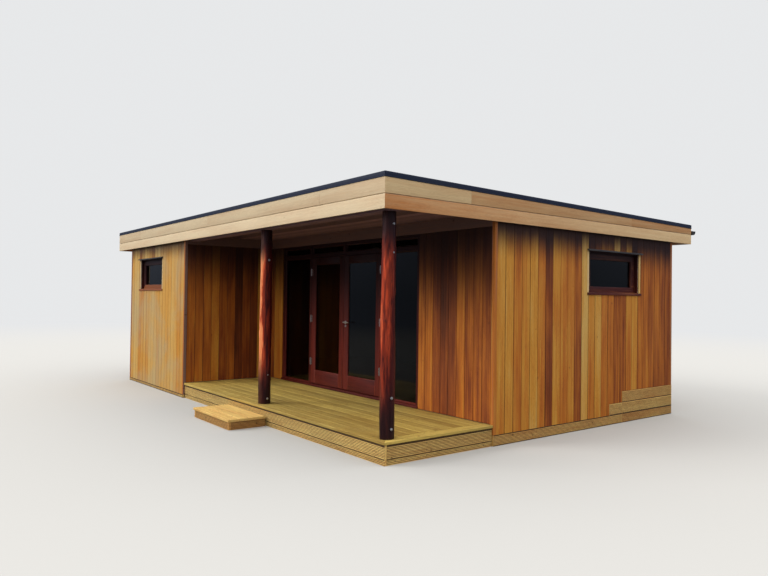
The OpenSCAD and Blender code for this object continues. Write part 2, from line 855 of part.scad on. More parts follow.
module screen_glass() {
    y0 = y_screen + (screen_t - glass_t) / 2;
    color(glazing) for (light = fixed_lights)
        span(light[0], light[1], y0, y0 + glass_t, light[2], light[3]);
}

// Doors, drawn with the leaf's outer face on y = 0 and its hinge edge on x = 0

leaf_h = z_leaf_top - z_leaf;
pin_out = 8;
knuckle_r = 7;
knuckle_count = 5;
knuckle_gap = 1;
pin_r = 3.2;
pin_play = 0.4;
pin_head = 6;
flap_w = 30;
flap_t = 3;
flap_clear = 6;
hinge_h = 100;
hinge_z = [610, 1265, 1975];

leaf_chamfer = 8;
scribe = 3;

// What is cut away on the leaf's front face: a chamfer round the opening, and a fine V where
// each rail meets a stile
module leaf_cuts() {
    z0 = z_leaf + bottom_rail_h;
    z1 = z_leaf_top - stile_w;
    splay_cut(stile_w, leaf_w - stile_w, z0, z1, leaf_chamfer);
    for (x = [stile_w, leaf_w - stile_w])
        for (rail = [[z_leaf - 1, z0 + 1], [z1 - 1, z_leaf_top + 1]])
            translate([x, 0, (rail[0] + rail[1]) / 2]) rotate([0, 0, 45])
                cube([scribe, scribe, rail[1] - rail[0]], center = true);
}

module leaf() {
    color(mahogany) difference() {
        translate([0, 0, z_leaf]) cube([leaf_w, leaf_t, leaf_h]);
        translate([stile_w, -1, z_leaf + bottom_rail_h])
            cube([leaf_w - 2 * stile_w, leaf_t + 2, leaf_h - bottom_rail_h - stile_w]);
        leaf_cuts();
        translate([0, leaf_t, 0]) mirror([0, 1, 0]) leaf_cuts();
    }
}

module leaf_glass() {
    color(glazing) translate([stile_w, (leaf_t - glass_t) / 2, z_leaf + bottom_rail_h])
        cube([leaf_w - 2 * stile_w, glass_t, leaf_h - bottom_rail_h - stile_w]);
}

// Knuckles of a butt hinge, numbered from the bottom, each with a bore or fused with the pin
module knuckles(z, numbers, bore) {
    size = hinge_h / knuckle_count;
    for (i = numbers)
        translate([-hinge_gap / 2, -pin_out, z - hinge_h / 2 + i * size + knuckle_gap / 2])
            difference() {
                cylinder(h = size - knuckle_gap, r = knuckle_r, $fn = round_fn);
                if (bore) translate([0, 0, -1])
                    cylinder(h = size + 2, r = pin_r + pin_play, $fn = round_fn);
            }
}

module leaf_hinges() {
    size = hinge_h / knuckle_count;
    color(steel) for (z = hinge_z) {
        knuckles(z, [1, 3], false);
        translate([-hinge_gap / 2, -pin_out, z - hinge_h / 2 - pin_head])
            cylinder(h = hinge_h + 2 * pin_head, r = pin_r, $fn = round_fn);
        for (end = [z - hinge_h / 2 - pin_head, z + hinge_h / 2 + pin_head / 2])
            translate([-hinge_gap / 2, -pin_out, end])
                cylinder(h = pin_head / 2, r = knuckle_r - 1, $fn = round_fn);
        translate([flap_clear - hinge_gap / 2, -flap_t, z - hinge_h / 2])
            cube([flap_w, flap_t, hinge_h]);
        for (i = [1, 3])
            translate([-hinge_gap / 2, -pin_out, z - hinge_h / 2 + i * size + knuckle_gap / 2])
                cube([flap_clear + 3, pin_out, size - knuckle_gap]);
    }
}

module place_left() {
    translate([x_meet - door_half + hinge_gap, y_screen, 0]) children();
}

module place_right() {
    translate([x_meet + door_half - hinge_gap, y_screen, 0]) mirror([1, 0, 0]) children();
}

module left_door_leaf() {
    place_left() leaf();
}

module left_door_glass() {
    place_left() leaf_glass();
}

module left_door_hinges() {
    place_left() leaf_hinges();
}

module right_door_leaf() {
    place_right() leaf();
}

module right_door_glass() {
    place_right() leaf_glass();
}

module right_door_hinges() {
    place_right() leaf_hinges();
}

module frame_flaps() {
    size = hinge_h / knuckle_count;
    color(steel) for (z = hinge_z) {
        knuckles(z, [0, 2, 4], true);
        translate([-hinge_gap / 2 - flap_clear - flap_w, -flap_t, z - hinge_h / 2])
            cube([flap_w, flap_t, hinge_h]);
        for (i = [0, 2, 4])
            translate([-hinge_gap / 2 - flap_clear - 3, -pin_out,
                z - hinge_h / 2 + i * size + knuckle_gap / 2])
                cube([flap_clear - 1, pin_out, size - knuckle_gap]);
    }
}

module frame_hinges() {
    color(steel) {
        place_left() frame_flaps();
        place_right() frame_flaps();
    }
}

// Lever on a round rose with a key escutcheon below, inside and outside the right leaf
rose_r = 23;
rose_t = 8;
backset = 56;
neck_r = 8;
lever_r = 8.5;
lever_out = 44;
lever_l = 112;
key_drop = 51;
key_rose_r = 17;
key_r = 8.5;
handle_z = 1240;

module lever_set() {
    translate([0, 0, handle_z]) {
        rotate([90, 0, 0]) cylinder(h = rose_t, r = rose_r, $fn = round_fn);
        rotate([90, 0, 0]) cylinder(h = lever_out, r = neck_r, $fn = round_fn);
        translate([0, -lever_out, 0]) {
            sphere(lever_r, $fn = round_fn);
            rotate([0, 90, 0]) cylinder(h = lever_l, r = lever_r, $fn = round_fn);
            translate([lever_l, 0, 0]) sphere(lever_r, $fn = round_fn);
        }
    }
    translate([0, 0, handle_z - key_drop]) rotate([90, 0, 0]) {
        cylinder(h = rose_t - 2, r = key_rose_r, $fn = round_fn);
        cylinder(h = rose_t + 2, r = key_r, $fn = round_fn);
    }
}

module door_handle() {
    color(steel) place_right() translate([leaf_w - backset, 0, 0]) mirror([1, 0, 0]) {
        lever_set();
        translate([0, leaf_t, 0]) mirror([0, 1, 0]) lever_set();
    }
}

// Windows, drawn centred on x = 0 with the cladding's face on y = 0

frame_w = 45;
frame_d = 80;
frame_back = 70;
liner_t = 18;
sash_w = 62;
sash_lip = 8;
sash_proud = 12;
sash_d = 56;
sash_chamfer = 7;
sill_out = 12;

module window_ring(w, h, member, y0, depth, z0) {
    difference() {
        translate([-w / 2, y0, z0]) cube([w, depth, h]);
        translate([-w / 2 + member, y0 - 1, z0 + member])
            cube([w - 2 * member, depth + 2, h - 2 * member]);
    }
}

// Opening light, its lip lying over the frame, its inner front edge chamfered
module window_sash() {
    w = window_w - 2 * frame_w;
    h = window_h - 2 * frame_w;
    z0 = window_z + frame_w;
    y0 = frame_back - sash_proud;
    difference() {
        union() {
            window_ring(w + 2 * sash_lip, h + 2 * sash_lip, sash_w + sash_lip, y0, sash_proud,
                z0 - sash_lip);
            window_ring(w, h, sash_w, y0, sash_d, z0);
        }
        translate([0, y0, 0])
            splay_cut(sash_w - w / 2, w / 2 - sash_w, z0 + sash_w, z0 + h - sash_w, sash_chamfer);
    }
}

module sill_length(length) {
    translate([-length / 2, 0, window_z]) rotate([90, 0, 90]) linear_extrude(length) children();
}

// Sill that slopes outwards between the jamb strips; its nose runs on below them and has a
// drip groove
module window_sill() {
    top = sill_nose - joint;
    sill_length(window_w + 2 * strip_w - 2 * joint)
        polygon([[-sill_out, 0], [-sill_out, top - 3], [-sill_out + 3, top],
            [cladding_t - joint, top], [cladding_t - joint, 0], [0, 0], [-2, 4], [-4, 0]]);
    sill_length(window_w - 2 * joint)
        polygon([[strip_back, 0], [strip_back, top], [frame_back + 1, frame_w - 2],
            [frame_back + 1, 0]]);
}

module window_frame() {
    liner_y = cladding_t + joint;
    window_ring(window_w, window_h, liner_t, liner_y, frame_back - liner_y + 1, window_z);
    window_ring(window_w, window_h, frame_w, frame_back, frame_d, window_z);
    window_sash();
    window_sill();
}

module window_pane() {
    inset = frame_w + sash_w;
    translate([-window_w / 2 + inset, frame_back + sash_d / 2 - glass_t / 2, window_z + inset])
        cube([window_w - 2 * inset, glass_t, window_h - 2 * inset]);
}

module place_front_window() {
    translate([x_roof - front_window_offset, y_bay, 0]) children();
}

module place_side_window() {
    translate([x_right, y_roof + side_window_offset, 0]) rotate([0, 0, 90]) children();
}

module window_frames() {
    color(mahogany) {
        place_front_window() window_frame();
        place_side_window() window_frame();
    }
}

module window_glass() {
    color(glazing) {
        place_front_window() window_pane();
        place_side_window() window_pane();
    }
}

// Folded head flashing: a sloping top, a lip in front and closed ends
flashing_out = 32;
flashing_t = 2;
end_t = 3;

module flashing() {
    length = window_w + 2 * strip_w + 6;
    t = flashing_t;
    out = flashing_out;
    translate([-length / 2, 0, window_z + window_h]) rotate([90, 0, 90]) {
        linear_extrude(length)
            polygon([[0, 16], [-out, 10], [-out, -8], [-out + t, -8], [-out + t, 10 - t],
                [0, 16 - t]]);
        for (x = [0, length - end_t])
            translate([0, 0, x]) linear_extrude(end_t)
                polygon([[0, 16], [-out, 10], [-out, -8], [-out + 12, -8], [0, 2]]);
    }
}

module window_flashings() {
    color(rubber) {
        place_front_window() flashing();
        place_side_window() flashing();
    }
}

base_frame();
floor();
bay_front_wall();
return_wall();
recess_wall();
right_wall();
back_wall();
left_wall();
bay_front_cladding();
return_cladding();
recess_cladding();
right_cladding();
back_cladding();
left_cladding();
cedar_trims();
plinth_boards();
deck_frame();
deck_boards();
deck_risers();
entry_step();
porch_posts();
roof_beam();
soffit_boards();
roof_panel();
roof_membrane();
roof_edge_trim();
front_fascia();
side_fascias();
back_fascia();
gutter();
screen_posts();
screen_rails();
screen_beads();
screen_glass();
window_frames();
window_glass();
window_flashings();
frame_hinges();
left_door_leaf();
left_door_glass();
left_door_hinges();
right_door_leaf();
right_door_glass();
right_door_hinges();
door_handle();
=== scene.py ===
"""Finished looks of a flat-roofed cedar garden room, built round its fixed CAD frame."""

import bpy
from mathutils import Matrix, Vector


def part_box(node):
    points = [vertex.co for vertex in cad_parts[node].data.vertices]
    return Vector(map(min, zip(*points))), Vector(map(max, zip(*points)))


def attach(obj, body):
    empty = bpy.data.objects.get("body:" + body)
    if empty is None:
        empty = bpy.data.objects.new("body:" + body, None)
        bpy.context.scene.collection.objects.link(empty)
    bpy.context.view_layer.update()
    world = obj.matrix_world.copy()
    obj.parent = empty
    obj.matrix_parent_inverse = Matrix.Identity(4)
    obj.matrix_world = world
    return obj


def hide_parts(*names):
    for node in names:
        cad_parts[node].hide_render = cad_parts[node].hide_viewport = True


bl_info = {
    "name": "Cedar Garden Room",
    "version": (1, 0, 0),
    "blender": (4, 5, 0),
    "location": "3D View > Sidebar > Garden Room",
    "description": "Boards, logs, joinery and finishes for a flat-roofed cedar garden room",
    "category": "Add Mesh",
}

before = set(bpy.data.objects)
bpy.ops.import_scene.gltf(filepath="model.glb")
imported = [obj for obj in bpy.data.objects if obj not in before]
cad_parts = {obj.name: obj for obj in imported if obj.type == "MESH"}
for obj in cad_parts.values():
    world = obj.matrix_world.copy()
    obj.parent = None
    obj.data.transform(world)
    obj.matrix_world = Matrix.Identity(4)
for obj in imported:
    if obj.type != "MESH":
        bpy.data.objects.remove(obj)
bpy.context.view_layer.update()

import math
import random

import bmesh
import bpy
from bpy.props import FloatProperty, FloatVectorProperty, IntProperty, PointerProperty
from bpy.types import NodeSocket, Operator, Panel, PropertyGroup
from mathutils import Matrix, Vector, noise

X, Y, Z = 0, 1, 2
FORWARD, BACKWARD = (0, -1, 0), (0, 1, 0)
RIGHTWARD, LEFTWARD = (1, 0, 0), (-1, 0, 0)
UPWARD, DOWNWARD = (0, 0, 1), (0, 0, -1)


# Settings


def length(name, description, value, least=0.0):
    return FloatProperty(
        name=name, description=description, default=value, min=least, unit="LENGTH", precision=4
    )


def colour(name, description, value):
    return FloatVectorProperty(
        name=name, description=description, default=value, min=0.0, max=1.0, size=3, subtype="COLOR"
    )


def share(name, description, value, most=1.0):
    return FloatProperty(
        name=name, description=description, default=value, min=0.0, max=most, subtype="FACTOR"
    )


def strength(name, description, value):
    return FloatProperty(name=name, description=description, default=value, min=0.0)


class CladdingSettings(PropertyGroup):
    cover: length("Cover", "Width that one cladding board shows", 0.138, 0.06)
    vee: length("Vee", "Width of the chamfer on each long edge of a board", 0.0045)
    uneven: length("Uneven", "How far a board may sit back from its neighbours", 0.0014)
    honey: colour("Honey", "Palest boards", (0.66, 0.41, 0.115))
    amber: colour("Amber", "Light boards", (0.62, 0.285, 0.036))
    orange: colour("Orange", "Middle boards", (0.50, 0.150, 0.015))
    russet: colour("Russet", "Dark boards", (0.235, 0.050, 0.008))
    umber: colour("Umber", "Darkest boards", (0.080, 0.018, 0.006))
    streaks: share("Streaks", "Strength of the long streaks in a board", 0.58, 2.0)


class DeckSettings(PropertyGroup):
    pale: colour("Pale", "Pale decking timber", (0.70, 0.505, 0.118))
    deep: colour("Deep", "Deep decking timber", (0.33, 0.205, 0.039))
    riser_pale: colour("Riser pale", "Pale grain of the grooved boards", (0.88, 0.62, 0.200))
    riser_deep: colour("Riser deep", "Deep grain of the grooved boards", (0.60, 0.270, 0.068))
    screw: length("Screw", "Radius of a deck screw's head", 0.0045)
    screw_inset: length("Screw inset", "From the edge of a board to its screws", 0.028)
    joists: IntProperty(name="Joists", description="Rows of screws", default=9, min=2, max=30)


class LogSettings(PropertyGroup):
    stain: colour("Stain", "Dark stain on the logs", (0.060, 0.004, 0.004))
    bright: colour("Bright", "Stain where the log is smooth", (0.60, 0.068, 0.018))
    # Painted light: the colour of the side of a log that faces the key light.
    worn: colour("Worn", "Thin stain on the side that the weather reaches", (0.98, 0.32, 0.12))
    lump: length("Lump", "How uneven the log is", 0.0080)
    bolt: length("Bolt", "Radius of a bolt's washer", 0.0145)


class JoinerySettings(PropertyGroup):
    deep: colour("Deep", "Stain in the grain of the joinery", (0.050, 0.005, 0.005))
    lit: colour("Lit", "Stain on the face of the joinery", (0.185, 0.024, 0.015))
    arris: length("Arris", "Rounding on the edges of the joinery", 0.002)
    glass: colour("Glass", "Tint of the double glazing", (0.10, 0.125, 0.14))


class RoofSettings(PropertyGroup):
    board_pale: colour("Fascia pale", "Pale grain of the fascia boards", (0.74, 0.575, 0.350))
    board_deep: colour("Fascia deep", "Deep grain of the fascia boards", (0.46, 0.150, 0.022))
    # Partly the boards' own colour, partly painted shade: dark and purplish as in the shade under the
    # roof.
    soffit: colour("Soffit", "Boards under the roof", (0.215, 0.122, 0.130))
    rubber: colour("Rubber", "Rubber edge trim", (0.006, 0.012, 0.036))
    sheet: colour("Sheet", "Rubber sheet on the roof", (0.014, 0.015, 0.018))
    plastic: colour("Gutter", "Gutter and its brackets", (0.018, 0.019, 0.022))
    sheet_width: length("Sheet width", "Width of a sheet of roof rubber", 1.4, 0.3)
    soffit_cover: length("Soffit cover", "Width that one soffit board shows", 0.120, 0.05)


class MetalSettings(PropertyGroup):
    steel: colour("Steel", "Hinges, bolts and lever", (0.62, 0.62, 0.61))
    flashing: colour("Flashing", "Folded sheet over the windows", (0.040, 0.038, 0.042))
    screw: colour("Screws", "Weathered screw heads", (0.16, 0.13, 0.10))


class StageSettings(PropertyGroup):
    floor: colour("Floor", "Plain floor", (0.50, 0.50, 0.49))
    bounce: share("Bounce", "How much light the floor throws back on the building", 0.14)
    backdrop: colour("Backdrop", "Plain background", (0.80, 0.81, 0.82))
    mirrored: colour("Mirrored", "Background that glass and metal mirror", (0.70, 0.78, 0.98))
    sky: strength("Sky", "Light from straight above", 2.0)
    horizon: strength("Horizon", "Light from low down", 0.5)
    dim: share("Dim", "How bright glass sees the background low down", 0.17)
    key: strength("Key", "Soft light from the front left", 1.4)


SETTINGS = {
    "room_cladding": CladdingSettings,
    "room_deck": DeckSettings,
    "room_logs": LogSettings,
    "room_joinery": JoinerySettings,
    "room_roof": RoofSettings,
    "room_metal": MetalSettings,
    "room_stage": StageSettings,
}


# Shader nodes


class Net:
    """A shader node tree and short ways to add to it; a value is a constant or a node's socket."""

    def __init__(self, tree):
        self.tree = tree

    def put(self, kind, values=(), **settings):
        """A node, with values for its inputs by place or name."""
        made = self.tree.nodes.new("ShaderNode" + kind)
        for key, value in settings.items():
            setattr(made, key, value)
        for key, value in values.items() if isinstance(values, dict) else enumerate(values):
            if isinstance(value, NodeSocket):
                self.tree.links.new(value, made.inputs[key])
            else:
                made.inputs[key].default_value = value
        return made

    def math(self, operation, *values):
        return self.put("Math", values, operation=operation).outputs[0]

    def plus(self, first, second):
        return self.math("ADD", first, second)

    def minus(self, first, second):
        return self.math("SUBTRACT", first, second)

    def times(self, first, second):
        return self.math("MULTIPLY", first, second)

    def over(self, first, second):
        return self.math("DIVIDE", first, second)

    def times_plus(self, first, second, more):
        return self.math("MULTIPLY_ADD", first, second, more)

    def vector(self, operation, *values):
        made = self.put("VectorMath", values, operation=operation)
        return made.outputs["Value" if operation == "LENGTH" else "Vector"]

    def parts(self, whole):
        """X, Y and Z of a vector, or the channels of a colour."""
        return self.put("SeparateXYZ", [whole]).outputs

    def joined(self, *values):
        return self.put("CombineXYZ", values).outputs[0]

    def attribute(self, name, output="Fac"):
        return self.put("Attribute", attribute_name=name).outputs[output]

    def place(self):
        return self.put("TexCoord").outputs["Object"]

    def remap(self, value, low, high, to_low=0.0, to_high=1.0, smooth=False):
        kind = "SMOOTHSTEP" if smooth else "LINEAR"
        values = (value, low, high, to_low, to_high)
        return self.put("MapRange", values, clamp=True, interpolation_type=kind).outputs[0]

    def cloud(self, place, by=None, detail=3.0, rough=0.55, warp=0.0, scale=1.0):
        """Soft noise over a place, which by stretches first."""
        if by is not None:
            place = self.vector("MULTIPLY", place, by)
        values = {"Vector": place, "Scale": scale, "Detail": detail}
        values.update({"Roughness": rough, "Distortion": warp})
        return self.put("TexNoise", values).outputs[0]

    def mixed(self, factor, first, second, mode="MIX"):
        """Mix of two colours, each a socket or three numbers."""
        values = {0: factor}
        for key, value in ((6, first), (7, second)):
            values[key] = value if isinstance(value, NodeSocket) else (*value[:3], 1.0)
        return self.put("Mix", values, data_type="RGBA", blend_type=mode, clamp_factor=True).outputs[2]

    def covered(self, tint, mask, amount, over):
        """A tint with another over it, as strong as mask times amount."""
        return self.mixed(self.times(mask, amount), tint, over)

    def ramp(self, value, stops):
        """Colour ramp over stops, each a place from 0 to 1 and a colour."""
        made = self.put("ValToRGB", [value])
        marks = made.color_ramp.elements
        while len(marks) < len(stops):
            marks.new(0.5)
        for mark, (place, tint) in zip(marks, stops):
            mark.position = place
            mark.color = (*tint[:3], 1.0)
        return made.outputs[0]

    def effect(self, maker, **values):
        """A shared effect's outputs, with the effect's own values."""
        made = self.put("Group", node_tree=shared_group(maker))
        for name, value in values.items():
            made.inputs[name.replace("_", " ").title()].default_value = value
        return made.outputs

    def surface(self, tint, rough, height=None, relief=0.0, others=()):
        """The material's shader, with bump from height; others are more of its inputs by name."""
        values = {"Base Color": tint, "Roughness": rough, **dict(others)}
        if height is not None:
            bump = {"Strength": 1.0, "Distance": relief, "Height": height}
            values["Normal"] = self.put("Bump", bump).outputs[0]
        shader = self.put("BsdfPrincipled", values).outputs[0]
        self.put("OutputMaterial", {"Surface": shader})

    def seen_and_mirrored(self):
        """Whether a ray comes from the camera, and whether it comes from gloss or glass."""
        path = self.put("LightPath").outputs
        mirrored = self.math("MAXIMUM", path["Is Glossy Ray"], path["Is Transmission Ray"])
        return path["Is Camera Ray"], mirrored


def timber_grain(net, given):
    """Tone, growth rings and fibre of a board, from the grain and board attributes."""
    grain, board = net.attribute("grain", "Vector"), net.attribute("board", "Vector")
    place, traits = net.parts(grain), net.parts(board)
    moved = net.vector("ADD", grain, net.vector("MULTIPLY", board, (0.0, 37.0, 53.0)))
    streak = net.cloud(moved, given["Streak Scale"], 3.0, 0.6)
    broad = net.cloud(moved, (9.0, 9.0, 1.15))
    across = net.times_plus(traits[1], 0.24, place[0])
    behind = net.times_plus(traits[2], 0.11, place[1])
    behind = net.plus(behind, net.times_plus(broad, 0.16, -0.03))
    pith = net.joined(net.minus(across, 0.12), behind, 0.0)
    radius = net.times_plus(streak, 0.006, net.vector("LENGTH", pith))
    turns = net.over(radius, given["Ring Pitch"])
    wave = net.math("SINE", net.times(turns, math.tau))
    rings = net.math("POWER", net.times_plus(wave, 0.5, 0.5), 2.2)
    fibre = net.cloud(moved, (620.0, 620.0, 8.0), 2.0, 0.6)
    tone = net.plus(net.times(net.minus(streak, 0.5), given["Streaks"]), traits[0])
    tone = net.plus(tone, net.times(net.minus(broad, 0.5), given["Blotches"]))
    height = net.times_plus(rings, -0.5, fibre)
    return {"Tone": tone, "Rings": rings, "Fibre": fibre, "Height": height}


def knots(net, given):
    """Knots scattered along a board, and the darker halo round each."""
    place, traits = (net.parts(net.attribute(name, "Vector")) for name in ("grain", "board"))
    across = net.times_plus(traits[1], 19.0, place[0])
    along = net.times_plus(traits[2], 31.0, net.times(place[2], 0.8))
    values = {"Vector": net.joined(across, along, 0.0), "Scale": net.over(1.0, given["Spacing"])}
    cells = net.put("TexVoronoi", values, voronoi_dimensions="2D").outputs
    far = net.times(cells["Distance"], given["Spacing"])
    size = net.times(net.plus(net.parts(cells["Color"])[0], 0.15), given["Size"])
    ratio = net.over(far, net.math("MAXIMUM", size, 1e-5))
    halo = net.remap(ratio, 1.0, 3.0, 1.0, 0.0, True)
    return {"Knot": net.remap(ratio, 0.75, 1.1, 1.0, 0.0, True), "Halo": halo}


def weathering(net, given):
    """Large soft patches and fine specks over a whole piece."""
    patches = net.cloud(net.place(), None, 4.0, 0.6, 0.4, given["Patch Scale"])
    specks = net.cloud(net.place(), None, 2.0, 0.7, 0.0, given["Speck Scale"])
    specks = net.remap(specks, 0.52, 0.72, smooth=True)
    return {"Patches": net.remap(patches, 0.38, 0.66, smooth=True), "Specks": specks}


def rubbed_edges(net, given):
    """Broken-up wear on the edge attribute that softened edges carry."""
    broken = net.cloud(net.place(), None, 3.0, 0.6, 0.0, given["Break Up"])
    broken = net.remap(broken, 0.35, 0.62, smooth=True)
    return {"Mask": net.times(net.attribute("edge"), broken)}


STREAK_SCALE = (34.0, 34.0, 0.55)
GRAIN = {"Streak Scale": STREAK_SCALE, "Streaks": 0.6, "Blotches": 0.3, "Ring Pitch": 0.006}
EFFECTS = {
    timber_grain: ("Timber grain", GRAIN),
    knots: ("Knots", {"Spacing": 0.4, "Size": 0.012}),
    weathering: ("Weathering", {"Patch Scale": 1.1, "Speck Scale": 60.0}),
    rubbed_edges: ("Rubbed edges", {"Break Up": 9.0}),
}
GROUPS = {}


def shared_group(maker):
    """The node group of an effect, built only once."""
    if maker not in GROUPS:
        name, given = EFFECTS[maker]
        group = GROUPS[maker] = bpy.data.node_groups.new(name, "ShaderNodeTree")
        sockets = group.interface.new_socket
        for label, value in given.items():
            kind = "NodeSocketFloat" if isinstance(value, float) else "NodeSocketVector"
            sockets(label, in_out="INPUT", socket_type=kind).default_value = value
        made = maker(Net(group), group.nodes.new("NodeGroupInput").outputs)
        for label in made:
            sockets(label, in_out="OUTPUT", socket_type="NodeSocketFloat")
        out = group.nodes.new("NodeGroupOutput").inputs
        for label, value in made.items():
            group.links.new(value, out[label])
    return GROUPS[maker]


# Materials, each made by filling the net of an empty one


def blended(first, second, part=0.5):
    return [a * (1.0 - part) + b * part for a, b in zip(first, second)]


def timber(
    net,
    stops,
    streaks=0.6,
    blotches=0.3,
    streak_scale=STREAK_SCALE,
    ring_pitch=0.006,
    ring_depth=0.25,
    knot_spacing=0.5,
    knot_size=0.010,
    knot_tint=(0.10, 0.035, 0.015),
    dust=0.12,
    dust_tint=(0.30, 0.24, 0.16),
    edge_tint=None,
    rough=(0.55, 0.75),
    coat=0.0,
    relief=0.0006,
    eaves=None,
    grooves=0.0,
    seams=0.0,
    shine=0.35,
):
    """Sawn or planed timber whose rings, streaks and knots follow each board."""
    inputs = {"streaks": streaks, "blotches": blotches, "ring_pitch": ring_pitch}
    grain = net.effect(timber_grain, streak_scale=streak_scale, **inputs)
    knot = net.effect(knots, spacing=knot_spacing, size=knot_size)
    weather = net.effect(weathering)
    tint = net.ramp(grain["Tone"], stops)
    darker = net.mixed(1.0, tint, (0.60, 0.50, 0.42), "MULTIPLY")
    tint = net.covered(tint, grain["Rings"], ring_depth, darker)
    tint = net.covered(tint, knot["Halo"], 0.45, darker)
    tint = net.covered(tint, knot["Knot"], 0.75, knot_tint)
    fine = net.remap(grain["Fibre"], 0.25, 0.75, 0.84, 1.10)
    tint = net.mixed(1.0, tint, net.joined(fine, fine, fine), "MULTIPLY")
    tint = net.covered(tint, weather["Patches"], dust, dust_tint)
    if edge_tint:
        tint = net.covered(tint, net.effect(rubbed_edges)["Mask"], 0.55, edge_tint)
    # Painted shade: the colour darkens to a shade tint from a height up towards the roof.
    if eaves:
        height = net.times_plus(net.minus(grain["Tone"], 0.5), 0.18, net.parts(net.place())[2])
        tint = net.mixed(net.remap(height, *eaves, smooth=True), tint, (0.018, 0.006, 0.007))
    # Darker in grooves and faces marked with them: partly dirt, partly painted shade, also under
    # nosings.
    if grooves:
        tint = net.covered(tint, net.attribute("groove"), grooves, (0.035, 0.013, 0.006))
    if seams:
        own = net.remap(net.parts(net.attribute("board", "Vector"))[1], 0.0, 0.9, 0.15, seams)
        tint = net.covered(tint, net.attribute("edge"), own, (0.035, 0.011, 0.006))
    level = net.times_plus(weather["Specks"], 0.06, net.remap(grain["Fibre"], 0.3, 0.7, *rough))
    others = {"Specular IOR Level": shine}
    if coat:
        others.update({"Coat Weight": coat, "Coat Roughness": 0.22})
    net.surface(tint, level, grain["Height"], relief, others)


def cedar(net, shade_from, shade, dust, blotches, streaks, seams):
    """Cladding boards, with painted shade towards the roof from a height up."""
    tones = bpy.context.scene.room_cladding
    tints = (tones.honey, tones.amber, tones.orange, tones.russet, tones.umber)
    timber(
        net,
        list(zip((0.0, 0.27, 0.52, 0.76, 1.0), tints)),
        streaks=tones.streaks * streaks,
        blotches=blotches,
        streak_scale=(62.0, 62.0, 0.6),
        ring_depth=0.30,
        knot_spacing=0.85,
        knot_size=0.007,
        knot_tint=(0.16, 0.05, 0.02),
        dust=dust,
        dust_tint=(0.42, 0.36, 0.22),
        eaves=(shade_from, 2.38, 0.0, shade),
        seams=seams,
        shine=0.25,
    )


def pale_cedar(net):
    tones = bpy.context.scene.room_cladding
    stops = [
        (0.0, (0.74, 0.56, 0.30)),
        (0.3, tones.honey),
        (0.6, tones.orange),
        # The two darkest stops, used by the boards over the screen, are painted shade.
        (0.8, (0.30, 0.150, 0.105)),
        (1.0, (0.24, 0.140, 0.120)),
    ]
    # Painted shade towards the roof at the top of the trims.
    timber(net, stops, streaks=0.5, dust=0.02, shine=0.25, eaves=(2.05, 2.42, 0.0, 0.40))


def fascia(net, warmth):
    """Planed fascia boards; warmth takes blue and some green out of the pale grain."""
    tones = bpy.context.scene.room_roof
    pale = [c * (1.0 - warmth * part) for c, part in zip(tones.board_pale, (0.0, 0.3, 1.0))]
    timber(
        net,
        [(0.0, pale), (0.5, blended(pale, tones.board_deep, 0.45)), (1.0, tones.board_deep)],
        blotches=0.50,
        streak_scale=(30.0, 30.0, 0.9),
        ring_depth=0.20,
        knot_size=0.004,
        dust=0.05,
        edge_tint=(0.74, 0.58, 0.38),
        rough=(0.50, 0.68),
    )


def soffit(net):
    deep = bpy.context.scene.room_roof.soffit
    stops = [(0.0, [c * 1.7 for c in deep]), (0.5, deep), (1.0, [c * 0.5 for c in deep])]
    timber(net, stops, dust=0.04)


def decking(net, pale, deep, knot_size=0.011, edge_tint=(0.50, 0.38, 0.13), grooves=0.0):
    """Treated softwood; pale and deep name its two colours among the settings."""
    pale, deep = (getattr(bpy.context.scene.room_deck, name) for name in (pale, deep))
    timber(
        net,
        [(0.0, pale), (0.5, blended(pale, deep)), (1.0, deep)],
        streaks=1.15,
        blotches=0.95,
        streak_scale=(60.0, 60.0, 3.0),
        ring_pitch=0.009,
        ring_depth=0.42,
        knot_spacing=0.42,
        knot_size=knot_size,
        knot_tint=(0.12, 0.055, 0.02),
        dust=0.16,
        dust_tint=(0.28, 0.26, 0.10),
        edge_tint=edge_tint,
        rough=(0.6, 0.8),
        grooves=grooves,
    )


def framing(net):
    stops = [(0.0, (0.62, 0.47, 0.28)), (1.0, (0.40, 0.26, 0.13))]
    timber(net, stops, ring_depth=0.35, knot_size=0.014, relief=0.001)


def joinery(net):
    tones = bpy.context.scene.room_joinery
    middle = blended(tones.deep, tones.lit)
    timber(
        net,
        # The palest stop gives the front window's sill its painted highlight.
        [(0.0, (0.55, 0.17, 0.05)), (0.18, tones.lit), (0.55, middle), (1.0, tones.deep)],
        streaks=1.1,
        blotches=0.6,
        streak_scale=(70.0, 70.0, 1.6),
        ring_pitch=0.0035,
        ring_depth=0.35,
        knot_size=0.0,
        dust=0.02,
        dust_tint=(0.16, 0.08, 0.06),
        edge_tint=(0.34, 0.055, 0.020),
        rough=(0.34, 0.50),
        coat=0.06,
        relief=0.0003,
        # Painted shade towards the top of the doors, screen and windows.
        eaves=(0.75, 2.20, 0.0, 0.95),
        shine=0.16,
    )


